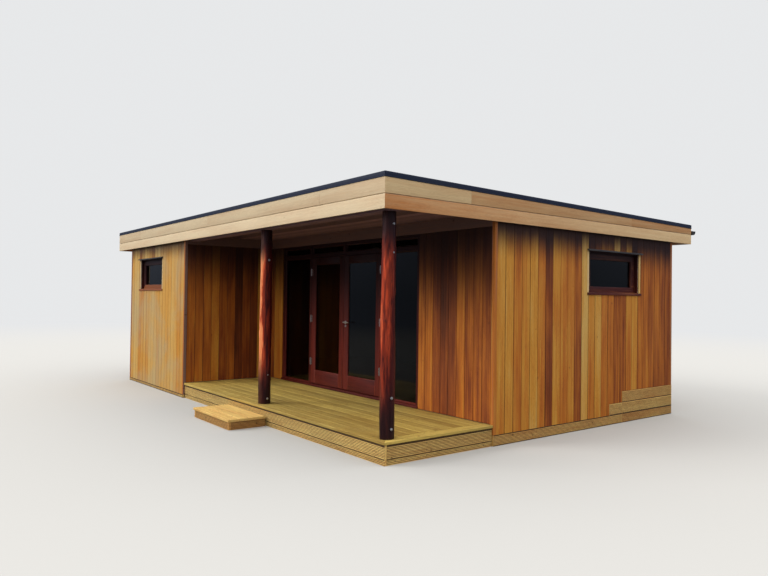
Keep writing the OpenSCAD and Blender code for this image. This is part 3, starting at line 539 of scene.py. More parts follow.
def stained_log(net):
    """Stained peeled log: long flecks, drying checks and the knots that the mesh carries, with painted
    light on one side, painted shade at the top and darker towards the foot.
    """
    tones = bpy.context.scene.room_logs
    grain = net.attribute("grain", "Vector")
    weather = net.effect(weathering, patch_scale=2.2)
    flecks = net.cloud(grain, (38.0, 38.0, 3.2), 4.0, 0.65, 0.6)
    broad = net.cloud(grain, (9.0, 9.0, 1.5), 3.0, 0.6, 0.5)
    checks = net.cloud(grain, (26.0, 26.0, 0.9), 2.0, 0.5, 0.3)
    both = net.times_plus(broad, 1.1, net.times(flecks, 0.8))
    # Painted light: the side of the log that faces the key light is paler and oranger.
    level = net.times_plus(net.attribute("worn"), 0.60, net.remap(both, 0.76, 1.16, 0.0, 0.80))
    middle = blended(tones.stain, tones.bright, 0.4)
    stops = [(0.0, tones.stain), (0.40, middle), (0.72, tones.bright), (1.0, tones.worn)]
    tint = net.ramp(level, stops)
    split = net.remap(net.math("ABSOLUTE", net.minus(checks, 0.5)), 0.0, 0.012, 1.0, 0.0)
    # Painted shade at the top of the log under the roof, and darker towards its foot.
    ends = net.times_plus(net.minus(broad, 0.5), 0.9, net.attribute("ends"))
    tint = net.mixed(net.remap(ends, 0.05, 0.70, 0.0, 0.95, True), tint, (0.013, 0.003, 0.005))
    tint = net.covered(tint, net.attribute("knot"), 0.8, (0.030, 0.006, 0.006))
    tint = net.covered(tint, split, 0.75, (0.020, 0.005, 0.005))
    tint = net.covered(tint, weather["Patches"], 0.03, (0.20, 0.10, 0.07))
    others = {"Coat Weight": 0.06, "Coat Roughness": 0.25, "Specular IOR Level": 0.20}
    rough = net.remap(flecks, 0.3, 0.7, 0.30, 0.50)
    net.surface(tint, rough, net.times_plus(split, -1.2, flecks), 0.0022, others)


def sheet(net, settings, colour_name, rough, metal, dust, dust_tint):
    """Rubber, plastic or metal sheet with soft patches and settled dust."""
    tint = getattr(getattr(bpy.context.scene, settings), colour_name)
    weather = net.effect(weathering, patch_scale=1.6, speck_scale=85.0)
    dusty = net.times_plus(weather["Specks"], dust * 0.5, net.times(weather["Patches"], dust))
    base = net.mixed(dusty, tint, dust_tint)
    base = net.covered(base, net.parts(net.attribute("board", "Vector"))[0], 0.22, dust_tint)
    rubbed = [min(1.0, c * 1.8 + 0.02) for c in tint]
    base = net.covered(base, net.effect(rubbed_edges)["Mask"], 0.35, rubbed)
    others = {"Metallic": metal, "Specular IOR Level": 0.22}
    rough = net.remap(weather["Patches"], 0.0, 1.0, *rough)
    net.surface(base, rough, weather["Specks"], 0.0004, others)


def satin_steel(net):
    """Satin steel with fine brush lines, stained over with the joinery where groove marks it."""
    tint = bpy.context.scene.room_metal.steel
    lines = net.cloud(net.place(), (900.0, 900.0, 60.0), 2.0, 0.6)
    weather = net.effect(weathering, patch_scale=14.0)
    base = net.covered(tint, weather["Patches"], 0.25, [c * 0.72 for c in tint])
    stained = net.times(net.attribute("groove"), 0.92)
    base = net.mixed(stained, base, (0.060, 0.012, 0.010))
    others = {"Metallic": net.minus(1.0, stained)}
    net.surface(base, net.remap(lines, 0.3, 0.7, 0.24, 0.40), lines, 0.0001, others)


def glazing(net):
    """Tinted double glazing, with the faint film that rain leaves."""
    tint = bpy.context.scene.room_joinery.glass
    film = net.cloud(net.place(), (3.0, 3.0, 1.2), 4.0, 0.6, 0.5)
    base = net.mixed(net.remap(film, 0.4, 0.7, 0.0, 0.3), tint, [c * 0.8 for c in tint])
    rough = net.remap(film, 0.35, 0.75, 0.0, 0.05)
    net.surface(base, rough, others={"Transmission Weight": 1.0, "IOR": 1.33})


def lining(net):
    """Painted inner lining with a light roller texture."""
    weather = net.effect(weathering, patch_scale=0.7, speck_scale=140.0)
    base = net.covered((0.60, 0.59, 0.56), weather["Patches"], 0.3, (0.55, 0.54, 0.50))
    rough = net.remap(weather["Specks"], 0.0, 1.0, 0.62, 0.74)
    net.surface(base, rough, weather["Specks"], 0.0004)


def floor_planks(net):
    """Inner floor of staggered planks."""
    place = net.place()
    values = {
        "Vector": place,
        "Color1": (0.30, 0.19, 0.10, 1.0),
        "Color2": (0.20, 0.12, 0.06, 1.0),
        "Mortar": (0.05, 0.03, 0.02, 1.0),
        "Scale": 1.0,
        "Mortar Size": 0.0015,
        "Brick Width": 1.3,
        "Row Height": 0.19,
    }
    planks = net.put("TexBrick", values, offset=0.37).outputs
    grain = net.cloud(place, (2.0, 60.0, 60.0), 3.0, 0.6)
    base = net.covered(planks["Color"], grain, 0.5, (0.12, 0.07, 0.035))
    rough = net.remap(grain, 0.3, 0.7, 0.35, 0.5)
    net.surface(base, rough, net.minus(grain, planks["Fac"]), 0.0005)


def stage_floor(net):
    """Floor under the building that fades into the background far away."""
    made = bpy.context.scene.room_stage
    seen, mirrored = net.seen_and_mirrored()
    shade = net.mixed(seen, [made.bounce] * 3, made.floor)
    base = net.put("BsdfDiffuse", {"Color": shade})
    strength = net.remap(mirrored, 0.0, 1.0, 1.0, made.dim)
    tint = net.mixed(mirrored, made.backdrop, made.mirrored)
    glow = net.put("Emission", {"Color": tint, "Strength": strength})
    away = net.remap(net.vector("LENGTH", net.place()), 11.0, 30.0, smooth=True)
    fade = net.times(away, net.math("MAXIMUM", seen, mirrored))
    both = net.put("MixShader", [fade, base.outputs[0], glow.outputs[0]])
    net.put("OutputMaterial", {"Surface": both.outputs[0]})


FINISHES = {
    # Maker and its own values
    "cedar_boards": (cedar,),
    "pale_cedar": (pale_cedar,),
    "fascia_boards": (fascia,),
    "soffit_boards_finish": (soffit,),
    "decking": (decking, "pale", "deep"),
    # The last value is the strength of the darkening in grooves, partly painted shade.
    "grooved_boards": (decking, "riser_pale", "riser_deep", 0.009, None, 0.92),
    "sawn_framing": (framing,),
    "mahogany_stain": (joinery,),
    "stained_log": (stained_log,),
    # Maker, settings, colour, roughness, metal, dust and the colour of the dust
    "roof_rubber": (sheet, "room_roof", "rubber", (0.45, 0.62), 0.0, 0.06, (0.10, 0.11, 0.13)),
    "roof_sheet": (sheet, "room_roof", "sheet", (0.50, 0.66), 0.0, 0.16, (0.075, 0.075, 0.078)),
    "black_gutter": (sheet, "room_roof", "plastic", (0.34, 0.50), 0.0, 0.12, (0.20, 0.20, 0.20)),
    "dark_flashing": (sheet, "room_metal", "flashing", (0.34, 0.50), 0.3, 0.12, (0.20, 0.20, 0.20)),
    "weathered_screws": (sheet, "room_metal", "screw", (0.40, 0.60), 0.7, 0.3, (0.10, 0.07, 0.05)),
    "satin_steel": (satin_steel,),
    "double_glazing": (glazing,),
    "painted_lining": (lining,),
    "inner_floor": (floor_planks,),
    "stage_floor": (stage_floor,),
}
MATERIALS = {}


def finish(name, *values):
    """The named material, made only once for the same values."""
    key = (name, *values)
    if key not in MATERIALS:
        material = MATERIALS[key] = bpy.data.materials.new(name)
        material.use_nodes = True
        material.node_tree.nodes.clear()
        maker, *own = FINISHES[name]
        maker(Net(material.node_tree), *own, *values)
    return MATERIALS[key]


# Mesh tools


SHARP = math.radians(38.0)
GROOVE = (0.0007, 0.0045)  # Depths below a board's face that count as a groove or chamfer
RIM = 0.0055  # Width of the chamfered edge beside a board's face
# A face given this depth darkens like a groove: painted shade on the riser edges, stain on the hinge
# flaps.
IN_GROOVE = 0.002  # Depth given to a face that is to look like part of a groove
CROSSING = 0.06  # Added tone where a member's grain doesn't run along its solid


def merged_copy(node):
    """Copy of a CAD node with its loose triangles joined and its flat faces made whole."""
    bm = bmesh.new()
    bm.from_mesh(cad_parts[node].data)
    bmesh.ops.remove_doubles(bm, verts=bm.verts, dist=2e-5)
    flat = {"angle_limit": math.radians(0.5), "use_dissolve_boundaries": False}
    bmesh.ops.dissolve_limit(bm, verts=bm.verts, edges=bm.edges, **flat)
    return bm


def islands(bm):
    """The separate solids of a bmesh, each a list of its faces, in the order of their faces."""
    bm.faces.ensure_lookup_table()
    bm.faces.index_update()
    seen = [False] * len(bm.faces)
    for first in bm.faces:
        if seen[first.index]:
            continue
        seen[first.index] = True
        group = [first]
        for face in group:
            for edge in face.edges:
                for other in edge.link_faces:
                    if not seen[other.index]:
                        seen[other.index] = True
                        group.append(other)
        yield group


def soften(bm, width, edges=None):
    """Bevels the edges, or all sharp ones, and marks the new faces for the rubbed-edge finish."""
    mark = bm.faces.layers.float.get("edge") or bm.faces.layers.float.new("edge")
    if edges is None:
        edges = [e for e in bm.edges if len(e.link_faces) == 2 and e.calc_face_angle(0.0) > SHARP]
    made = bmesh.ops.bevel(
        bm,
        geom=edges,
        affect="EDGES",
        offset=width,
        offset_type="OFFSET",
        segments=1,
        profile=0.5,
        material=-1,
        clamp_overlap=True,
    )
    for face in made["faces"]:
        face[mark] = 1.0


def lay_grain(bm, seed, tone=(0.3, 0.6), member=None, slope=0.0, sunk=None):
    """Gives each board its own grain direction, start and tone, and marks its grooves.

    tone is a range, or gives a board's tone or its tones at both ends from its middle and size.
    member gives the axes along, across and into the board at a face, and a shift of tone.
    sunk gives the depth of a face below the board's own surface.
    """
    bm.normal_update()
    grain = bm.loops.layers.float_vector.new("grain")
    board = bm.loops.layers.float_vector.new("board")
    groove = bm.faces.layers.float.new("groove")
    pick, start = random.Random(seed), random.Random(seed + 1)
    for faces in islands(bm):
        points = [v.co for f in faces for v in f.verts]
        low = Vector([min(p[i] for p in points) for i in range(3)])
        size = Vector([max(p[i] for p in points) for i in range(3)]) - low
        order = sorted(range(3), key=lambda i: -size[i])
        middle = low + size / 2
        value = tone(pick, middle, size) if callable(tone) else pick.uniform(*tone)
        traits = (start.random(), start.random())
        lean = start.uniform(-slope, slope)
        first, last = value if isinstance(value, tuple) else (value - lean, value + lean)
        for face in faces:
            at = face.calc_center_median()
            rim, depth = (min(at[i] - low[i], low[i] + size[i] - at[i]) for i in order[1:])
            if sunk:
                depth = sunk(at)
            marked = GROOVE[0] < depth < GROOVE[1] or (sunk is None and rim < RIM)
            face[groove] = float(marked and (sunk is not None or abs(face.normal[order[0]]) < 0.5))
            along, across, deep, *shift = order if member is None else member(at, order)
            other = sum(shift) + (0.0 if along == order[0] else CROSSING)
            for loop in face.loops:
                p = loop.vert.co
                beside, behind = p[across] - middle[across], p[deep] - middle[deep]
                loop[grain] = (beside, behind, p[along] - low[along])
                part = (p[along] - low[along]) / max(size[along], 1e-6)
                loop[board] = (first + (last - first) * part + other, *traits)


def round_shading(bm, angle=32.0):
    """Smooth shading across edges flatter than the angle."""
    for face in bm.faces:
        face.smooth = True
    for edge in bm.edges:
        edge.smooth = len(edge.link_faces) == 2 and edge.calc_face_angle(4.0) < math.radians(angle)


def made_piece(bm, name, material, node=None, body="building"):
    """Turns a bmesh into a finished piece that rides a body, in place of a node if one is named."""
    mesh = bpy.data.meshes.new(name)
    bm.to_mesh(mesh)
    bm.free()
    piece = bpy.data.objects.new(name, mesh)
    bpy.context.scene.collection.objects.link(piece)
    mesh.materials.append(material)
    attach(piece, body)
    if node:
        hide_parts(node)


def cut(bm, spot, normal, near, clear=False):
    """Cuts a bmesh along a plane; clear drops what lies past it."""
    everything = bm.verts[:] + bm.edges[:] + bm.faces[:]
    plane = {"plane_co": spot, "plane_no": normal}
    bmesh.ops.bisect_plane(bm, geom=everything, dist=near, clear_outer=clear, **plane)


def refined(
    node, slot, material, seed, soft=0.0015, tone=(0.3, 0.6), cuts=(), body="building", **grain
):
    """A CAD node's own form with eased edges and laid grain, in place of the node.

    soft is the width of the eased edges, and cuts are the planes that part its boards.
    """
    bm = merged_copy(node)
    for spot, normal in cuts:
        cut(bm, spot, normal, 1e-5)
    if soft:
        soften(bm, soft)
    lay_grain(bm, seed, tone, **grain)
    round_shading(bm)
    made_piece(bm, node + "_finished", material, node, body)


def painted(node, material):
    """A CAD node that keeps its own mesh and gets a finish."""
    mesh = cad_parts[node].data
    mesh.materials.clear()
    mesh.materials.append(material)


def cut_slice(source, axis, start, stop):
    """The part of a solid between two planes across an axis, closed again."""
    bm = source.copy()
    for place, sign in ((start, -1.0), (stop, 1.0)):
        spot, normal = Vector(), Vector()
        spot[axis], normal[axis] = place, sign
        cut(bm, spot, normal, 1e-6, True)
        open_edges = [e for e in bm.edges if e.is_boundary]
        if open_edges:
            bmesh.ops.holes_fill(bm, edges=open_edges, sides=0)
    return bm


def boards_from(node, axis, out, cover, vee, seed, uneven=0.0):
    """Slices a CAD skin into boards with chamfered long edges; out is its face's normal."""
    source = merged_copy(node)
    low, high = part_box(node)
    count = max(1, round((high[axis] - low[axis]) / cover))
    pitch = (high[axis] - low[axis]) / count
    facing = Vector(out)
    deep = max(range(3), key=lambda i: abs(facing[i]))
    face_at = high[deep] if facing[deep] > 0 else low[deep]
    pick = random.Random(seed)
    whole = bmesh.new()

    def lies_at(edge, way, place, near):
        return all(abs(v.co[way] - place) < near for v in edge.verts)

    for i in range(count):
        start = low[axis] + i * pitch
        bm = cut_slice(source, axis, start, start + pitch)
        if bm.faces:
            rims = [
                e
                for e in bm.edges
                if lies_at(e, deep, face_at, 1e-5)
                and (lies_at(e, axis, start, 1e-4) or lies_at(e, axis, start + pitch, 1e-4))
            ]
            soften(bm, vee, rims)
            bmesh.ops.translate(bm, verts=bm.verts, vec=facing * -pick.uniform(0.0, uneven))
            part = bpy.data.meshes.new("slice")
            bm.to_mesh(part)
            whole.from_mesh(part)
            bpy.data.meshes.remove(part)
        bm.free()
    source.free()
    bmesh.ops.recalc_face_normals(whole, faces=whole.faces)
    return whole


def disc(bm, spot, normal, radius, height, sides=8, top=0.8):
    """A low round head on a face at spot."""
    turn = Vector(UPWARD).rotation_difference(Vector(normal)).to_matrix().to_4x4()
    place = Matrix.Translation(Vector(spot) + Vector(normal) * height / 2) @ turn
    size = {"radius1": radius, "radius2": radius * top, "depth": height}
    bmesh.ops.create_cone(bm, cap_ends=True, segments=sides, matrix=place, **size)


def block(bm, middle, size, turn=Matrix()):
    """A box of the given size, turned about its middle."""
    place = Matrix.Translation(middle) @ turn @ Matrix.Diagonal((*size, 1.0))
    bmesh.ops.create_cube(bm, size=1.0, matrix=place)


def screw_heads(name, heads, height=0.0008):
    """Screw heads as one piece; each head is a spot and the normal of the face under it."""
    bm = bmesh.new()
    for spot, normal in heads:
        disc(bm, spot, normal, bpy.context.scene.room_deck.screw, height)
    made_piece(bm, name, finish("weathered_screws"))


def spread(low, high, inset, count):
    """Even places between two ends, the first and last an inset from them."""
    return [low + inset + i * (high - low - 2 * inset) / (count - 1) for i in range(count)]


# Pieces


BESIDE_SCREEN = (-0.76, -0.5)  # Boards of the recess left of the screen, along X
FIRST_BOARD = -0.96  # End of the right wall's first board, along Y
FAR_END = 1.75  # Start of the right wall's darker end, along Y
OVER_WINDOW = 2.0  # Height over which a wall's short boards lie


def wall_tone(seed, axis, palest, darkest, lean):
    """Board tones that keep their place along a wall: most spread widely, some keep together."""

    def tone(pick, middle, size):
        right_wall = axis == Y and middle.x > 0
        if axis == X and BESIDE_SCREEN[0] < middle.x < BESIDE_SCREEN[1] and middle.y < 0:
            return 0.36
        if right_wall and middle.y < FIRST_BOARD:
            return 0.33
        own = random.Random(seed * 997 + round(middle[axis] * 36) + 500 * (middle.z > OVER_WINDOW))
        far = 0.13 if right_wall and middle.y > FAR_END else 0.0
        if own.random() < 0.72:
            return own.uniform(palest, darkest) + far
        return palest + (darkest - palest) * lean + own.uniform(-0.1, 0.1) + far

    return tone


class GARDEN_ROOM_OT_cladding(Operator):
    """Vertical cedar boards on every outside wall"""

    bl_idname = "garden_room.cladding"
    bl_label = "Cladding"

    # Values for cedar: start and strength of the painted shade towards the roof, starting lower on the
    # walls under the porch roof, then dust, blotches, streaks and seams
    open_wall = (1.97, 0.97, 0.02, 0.62, 1.0, 0.95)
    bay_wall = (2.08, 0.85, 0.50, 0.50, 0.6, 0.60)
    return_wall = (1.55, 0.90, 0.02, 0.62, 0.8, 0.8)
    recess_wall = (1.30, 0.95, 0.02, 0.62, 1.0, 0.8)
    # Node, axis along the wall, facing, seed, values for wall_tone and for cedar
    walls = (
        ("bay_front_cladding", X, FORWARD, 190160, (-0.08, 0.46, 0.35), bay_wall),
        ("return_cladding", Y, RIGHTWARD, 216912, (0.16, 0.92, 0.6), return_wall),
        ("recess_cladding", X, FORWARD, 132539, (0.46, 0.90, 0.5), recess_wall),
        ("right_cladding", Y, RIGHTWARD, 54312, (0.06, 0.84, 0.5), open_wall),
        ("back_cladding", X, BACKWARD, 31, (0.10, 0.85, 0.5), open_wall),
        ("left_cladding", Y, LEFTWARD, 41, (0.10, 0.85, 0.5), open_wall),
    )

    def execute(self, context):
        made = context.scene.room_cladding
        for node, axis, out, seed, tones, shading in self.walls:
            bm = boards_from(node, axis, out, made.cover, made.vee, seed, made.uneven)
            lay_grain(bm, seed, wall_tone(seed, axis, *tones), slope=0.06)
            wood = finish("cedar_boards", *shading)
            made_piece(bm, node + "_boards", wood, node)
        return {"FINISHED"}


class GARDEN_ROOM_OT_trims(Operator):
    """Corner strips, boards over the glazed screen and strips beside the windows"""

    bl_idname = "garden_room.trims"
    bl_label = "Cedar trims"

    over_screen, beside_window = 0.3, 0.7  # Greatest height of such strips
    return_side, bay_front = (-0.914, -0.90), -1.2

    def execute(self, context):
        def tone(pick, middle, size):
            # Boards over the screen take the darkest tones: painted shade under the roof.
            if size.z < self.over_screen:
                return pick.uniform(0.86, 0.94)
            corner = size.z > self.beside_window
            return pick.uniform(0.60, 0.72) if corner else pick.uniform(0.05, 0.15)

        def member(at, order):
            """Painted shade: the return's side of the bay's corner strip is darker."""
            low, high = self.return_side
            return (*order, 0.35 if low < at.x < high and at.y < self.bay_front else 0.0)

        wood = finish("pale_cedar")
        refined("cedar_trims", "cedar_trim", wood, 3, 0.002, tone, member=member)
        return {"FINISHED"}


class GARDEN_ROOM_OT_plinth(Operator):
    """Grooved plinth courses and deck risers with their screws"""

    bl_idname = "garden_room.plinth"
    bl_label = "Plinth and risers"

    lower_top, upper_foot, upper_top = (0.042, 0.0475), (0.0525, 0.0575), 0.183
    # Heights of the screws, and their inset and number along the front and the side
    screw_rows, front_screws, side_screws = (0.032, 0.088, 0.160), (0.10, 13), (0.13, 4)

    def execute(self, context):
        wood = finish("grooved_boards")
        refined("plinth_boards", "decking", wood, 7, 0.0008, (0.35, 0.85))
        low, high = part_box("deck_risers")

        def member(at, order):
            """Painted highlight: the top edge of the lower board is paler."""
            return (*order, -0.6 if self.lower_top[0] < at.z < self.lower_top[1] else 0.0)

        def sunk(at):
            """Grooves, and the shaded edges of the upper board."""
            near = min(at.y - low.y, high.x - at.x)
            foot = self.upper_foot[0] < at.z < self.upper_foot[1]
            return IN_GROOVE if near < 0.001 and (foot or at.z > self.upper_top) else near

        grain = {"member": member, "slope": 0.2, "sunk": sunk}
        refined("deck_risers", "decking", wood, 9, 0.0008, (0.20, 0.62), **grain)
        along = spread(low.x, high.x, *self.front_screws)
        back = spread(low.y, high.y, *self.side_screws)
        heads = [((x, low.y, z), FORWARD) for x in along for z in self.screw_rows]
        heads += [((high.x, y, z), RIGHTWARD) for y in back for z in self.screw_rows]
        screw_heads("riser_screws", heads, height=0.0012)
        return {"FINISHED"}


class GARDEN_ROOM_OT_deck(Operator):
    """Deck boards with their picture-frame border, joists and screws"""

    bl_idname = "garden_room.deck"
    bl_label = "Deck"

    boards, width, gap = 10, 0.1446, 0.005
    joist, clear = 0.047, 0.01

    def execute(self, context):
        def tone(pick, middle, size):
            start = pick.uniform(0.05, 0.45)
            return start, start + (0.55 if size.x > 1.0 else 0.25)

        made, width = context.scene.room_deck, self.width
        wood = finish("decking")
        refined("deck_boards", "decking", wood, 15, 0.0006, tone)
        refined("deck_frame", "framing", finish("sawn_framing"), 17, 0.002)
        low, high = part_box("deck_boards")
        joist_low, joist_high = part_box("deck_frame")
        rows = spread(joist_low.x, joist_high.x, self.joist / 2, made.joists)
        border = (high.x - width + made.screw_inset, high.x - made.screw_inset)
        spots = []
        for board in range(self.boards):
            stop = high.x - width - self.clear - (0.0 if board else width)
            for side in (made.screw_inset, width - made.screw_inset):
                y = low.y + board * (width + self.gap) + side
                spots += [(x, y) for x in rows if x < stop]
                if board:
                    spots += [(x, y - made.screw_inset + self.clear) for x in border]
        screw_heads("deck_screws", [((x, y, high.z), UPWARD) for x, y in spots])
        return {"FINISHED"}


class GARDEN_ROOM_OT_step(Operator):
    """Low step in front of the deck"""

    bl_idname = "garden_room.step"
    bl_label = "Step"

    boards, width, first_gap, pitch = 4, 0.144, 0.1465, 0.149
    top, nosing, side_board = 0.026, 0.014, 0.04
    end_inset, narrow_inset = 0.03, 0.022  # Of the screws

    def execute(self, context):
        low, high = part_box("entry_step")
        below = high.z - self.top

        def member(at, order):
            """The boards on top, and under them the sides and front, darker partly as painted shade.
            """
            if at.z > below:
                return X, Y, Z
            sides = at.x < low.x + self.side_board or at.x > high.x - self.side_board
            return (Y, Z, X, 0.45) if sides else (X, Z, Y, 0.45)

        def sunk(at):
            if at.z > below:
                return 0.0
            return min(at.y - low.y, at.x - low.x, high.x - at.x) - self.nosing

        gaps = [low.y + self.first_gap + i * self.pitch for i in range(self.boards - 1)]
        cuts = [((0, y, 0), BACKWARD) for y in gaps]
        grain = {"tone": (0.10, 0.40), "member": member, "sunk": sunk}
        refined("entry_step", "decking", finish("grooved_boards"), 19, 0.0006, cuts=cuts, **grain)
        inset = context.scene.room_deck.screw_inset
        across = (low.x + self.end_inset, (low.x + high.x) / 2, high.x - self.end_inset)
        heads = []
        for i in range(self.boards):
            narrow = i == self.boards - 1
            sides = (self.narrow_inset,) if narrow else (inset, self.width - inset)
            rows = [low.y + i * self.pitch + side for side in sides]
            heads += [((x, y, high.z), UPWARD) for x in across for y in rows]
        screw_heads("step_screws", heads)
        return {"FINISHED"}


class GARDEN_ROOM_OT_posts(Operator):
    """Peeled and stained logs that carry the porch roof, with their bolts"""

    bl_idname = "garden_room.posts"
    bl_label = "Log posts"

    # Middle, radii at foot and top, seed, side given painted light, how strong the painted light
    # is there and all over, and heights of the bolts
    logs = (
        ((4.060, -2.507), 0.0750, 0.0720, 3, -108.0, (0.50, -0.50), (2.32, 2.04, 0.63, 0.33)),
        ((1.520, -2.507), 0.0800, 0.0750, 8, -124.0, (1.0, 0.14), (2.06, 0.60, 0.30)),
    )
    sides, rings, knots = 44, 84, 11
    knot_places, knot_widths = (0.12, 0.95), (0.010, 0.020)  # Places as parts of the height
    shaved, swelling, hollow = 0.0030, 0.0070, 0.0035  # Off the log, and on and in a knot
    # How fast the surface varies round and along the log, shift from log to log, and share
    waves = ((1.6, 2.2, 7, 1.0), (4.5, 7.0, 11, 0.35))
    bend, bend_turn = 0.002, 1.7  # How far the log bends, and radians of its wave in a metre
    # Lengths of the painted shade at a log's top and of the darkening towards its foot, and how far a
    # washer sinks
    dark_top, dark_foot, washer_sunk = 0.52, 0.75, 0.003
    # Widths in washers, heights, sides and tapers of washer, head and crown
    bolt_parts = ((1.0, 0.003, 24, 0.96), (0.62, 0.008, 6, 1.0), (0.50, 0.002, 16, 0.6))

    def log(self, bm, middle, foot, top, low, high, seed, weather, wear, lump):
        """One log, turned, divided and uneven."""
        pick = random.Random(seed)
        height = high - low
        grain = bm.verts.layers.float_vector["grain"]
        knot, ends, worn = (bm.verts.layers.float[name] for name in ("knot", "ends", "worn"))
        place = Matrix.Translation((*middle, (low + high) / 2))
        size = {"radius1": foot, "radius2": top, "depth": height}
        made = bmesh.ops.create_cone(bm, cap_ends=True, segments=self.sides, matrix=place, **size)
        edges = [e for v in made["verts"] for e in v.link_edges]
        upright = [e for e in edges if abs(e.verts[0].co.z - e.verts[1].co.z) > 0.1]
        upright = list(dict.fromkeys(upright))
        bmesh.ops.subdivide_edges(bm, edges=upright, cuts=self.rings, use_grid_fill=True)
        ranges = ((0, math.tau), self.knot_places, self.knot_widths)
        knots = [[pick.uniform(*limits) for limits in ranges] for _ in range(self.knots)]
        for v in bm.verts:
            if abs(v.co.x - middle[0]) > 0.5:
                continue  # A vertex of the other log
            out = Vector((v.co.x - middle[0], v.co.y - middle[1], 0.0))
            far = out.length
            z = v.co.z - low
            out.normalize()
            angle = math.atan2(out.y, out.x)
            uneven = 0.0
            for turned, along, shift, part in self.waves:
                spot = Vector((out.x * turned, out.y * turned, z * along + seed * shift))
                uneven += part * noise.noise(spot)
            grown = far - self.shaved + lump * uneven
            near = 0.0
            for turn, part_up, width in knots:
                gap = (angle - turn + math.pi) % math.tau - math.pi
                away = math.hypot(gap * far, (z - part_up * height) * 0.75) / width
                swollen = self.swelling * math.exp(-away * away * 0.6)
                grown += swollen - self.hollow * math.exp(-away * away * 6)
                near = max(near, 1.0 - min(1.0, max(0.0, (away - 0.35) / 0.5)))
            lean = self.bend * math.sin(z * self.bend_turn + seed)
            v[grain] = (out.x * far, out.y * far, z + seed * 5.0)
            v[knot] = near
            # Painted light on the side that faces the key light.
            v[worn] = wear[0] * math.cos(angle - math.radians(weather)) + wear[1]
            # Painted shade at the top under the roof, and darker towards the foot.
            dark = max(0.0, 1.0 - (height - z) / self.dark_top)
            v[ends] = dark + max(0.0, 1.0 - z / self.dark_foot) * 0.9
            v.co.x = middle[0] + out.x * grown + lean
            v.co.y = middle[1] + out.y * grown

    def bolt(self, bm, spot, normal, radius):
        """A washer, a hexagonal head and its low crown, one on the other."""
        at = Vector(spot)
        for width, height, sides, top in self.bolt_parts:
            disc(bm, at, normal, radius * width, height, sides, top)
            at = at + Vector(normal) * height

    def execute(self, context):
        made = context.scene.room_logs
        low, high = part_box("porch_posts")
        bm, bolts = bmesh.new(), bmesh.new()
        bm.verts.layers.float_vector.new("grain")
        for name in ("knot", "ends", "worn"):
            bm.verts.layers.float.new(name)
        for middle, foot, top, seed, weather, wear, heights in self.logs:
            self.log(bm, middle, foot, top, low.z, high.z, seed, weather, wear, made.lump)
            for z in heights:
                radius = foot + (top - foot) * (z - low.z) / (high.z - low.z)
                spot = (middle[0] + radius - self.washer_sunk, middle[1], z)
                self.bolt(bolts, spot, RIGHTWARD, made.bolt)
        round_shading(bm, 60.0)
        made_piece(bm, "log_posts", finish("stained_log"), "porch_posts")
        made_piece(bolts, "post_bolts", finish("satin_steel"))
        return {"FINISHED"}


class GARDEN_ROOM_OT_soffit(Operator):
    """Boards under the roof and the beam on the posts"""

    bl_idname = "garden_room.soffit"
    bl_label = "Soffit and beam"

    def execute(self, context):
        cover = context.scene.room_roof.soffit_cover
        wood = finish("soffit_boards_finish")
        bm = boards_from("soffit_boards", Y, DOWNWARD, cover, 0.003, 51, 0.0006)
        lay_grain(bm, 51, (0.1, 0.85))
        made_piece(bm, "soffit_lining", wood, "soffit_boards")
        refined("roof_beam", "soffit", wood, 53, 0.004, (0.35, 0.45))
        return {"FINISHED"}


class GARDEN_ROOM_OT_roof(Operator):
    """Rubber sheets with their laps, and the edge trim"""

    bl_idname = "garden_room.roof"
    bl_label = "Roof"

    thickness, cuts = 0.004, 60
    lap_width, lap_height, lap_rise, lap_inset = 0.09, 0.0022, 0.0025, 0.002

    def execute(self, context):
        def tone(pick, middle, size):
            return 0.0 if size.x > 1.0 else pick.uniform(0.5, 1.0)

        width = context.scene.room_roof.sheet_width
        low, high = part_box("roof_membrane")
        bm = merged_copy("roof_membrane")
        long_edges = [e for e in bm.edges if abs(e.verts[0].co.x - e.verts[1].co.x) > 1.0]
        bmesh.ops.subdivide_edges(bm, edges=long_edges, cuts=self.cuts)
        fall = (high.z - low.z - self.thickness) / (high.y - low.y)
        middle_y, middle_z = (low.y + high.y) / 2, (low.z + high.z) / 2 + self.lap_rise
        lap = (self.lap_width, high.y - low.y - 2 * self.lap_inset, self.lap_height)
        for i in range(1, int((high.x - low.x) / width) + 1):
            spot = (low.x + i * width, middle_y, middle_z)
            block(bm, spot, lap, Matrix.Rotation(-math.atan(fall), 4, "X"))
        soften(bm, 0.0008)
        lay_grain(bm, 61, tone)
        made_piece(bm, "roof_sheets", finish("roof_sheet"), "roof_membrane")
        refined("roof_edge_trim", "roof_rubber", finish("roof_rubber"), 63, 0.0012, (0.0, 0.0))
        return {"FINISHED"}


class GARDEN_ROOM_OT_fascias(Operator):
    """Pale cedar fascia boards on all four sides"""

    bl_idname = "garden_room.fascias"
    bl_label = "Fascias"

    upper_foot, joint = 2.58, -1.6  # Height of the upper side boards, and where they join

    def execute(self, context):
        def side(pick, middle, size):
            """The lower boards pale towards the back, the upper ones differ."""
            if middle.z < self.upper_foot:
                return pick.uniform(0.80, 0.95), pick.uniform(0.02, 0.12)
            front = middle.y < self.joint
            return pick.uniform(0.02, 0.10) if front else pick.uniform(0.35, 0.75)

        wood, warm = (finish("fascia_boards", warmth) for warmth in (-0.10, 0.13))
        refined("front_fascia", "fascia", wood, 71, 0.0012, (0.0, 0.14))
        refined("side_fascias", "fascia", warm, 74, 0.0012, side)
        refined("back_fascia", "fascia", wood, 75, 0.0012, (0.2, 0.6))
        return {"FINISHED"}


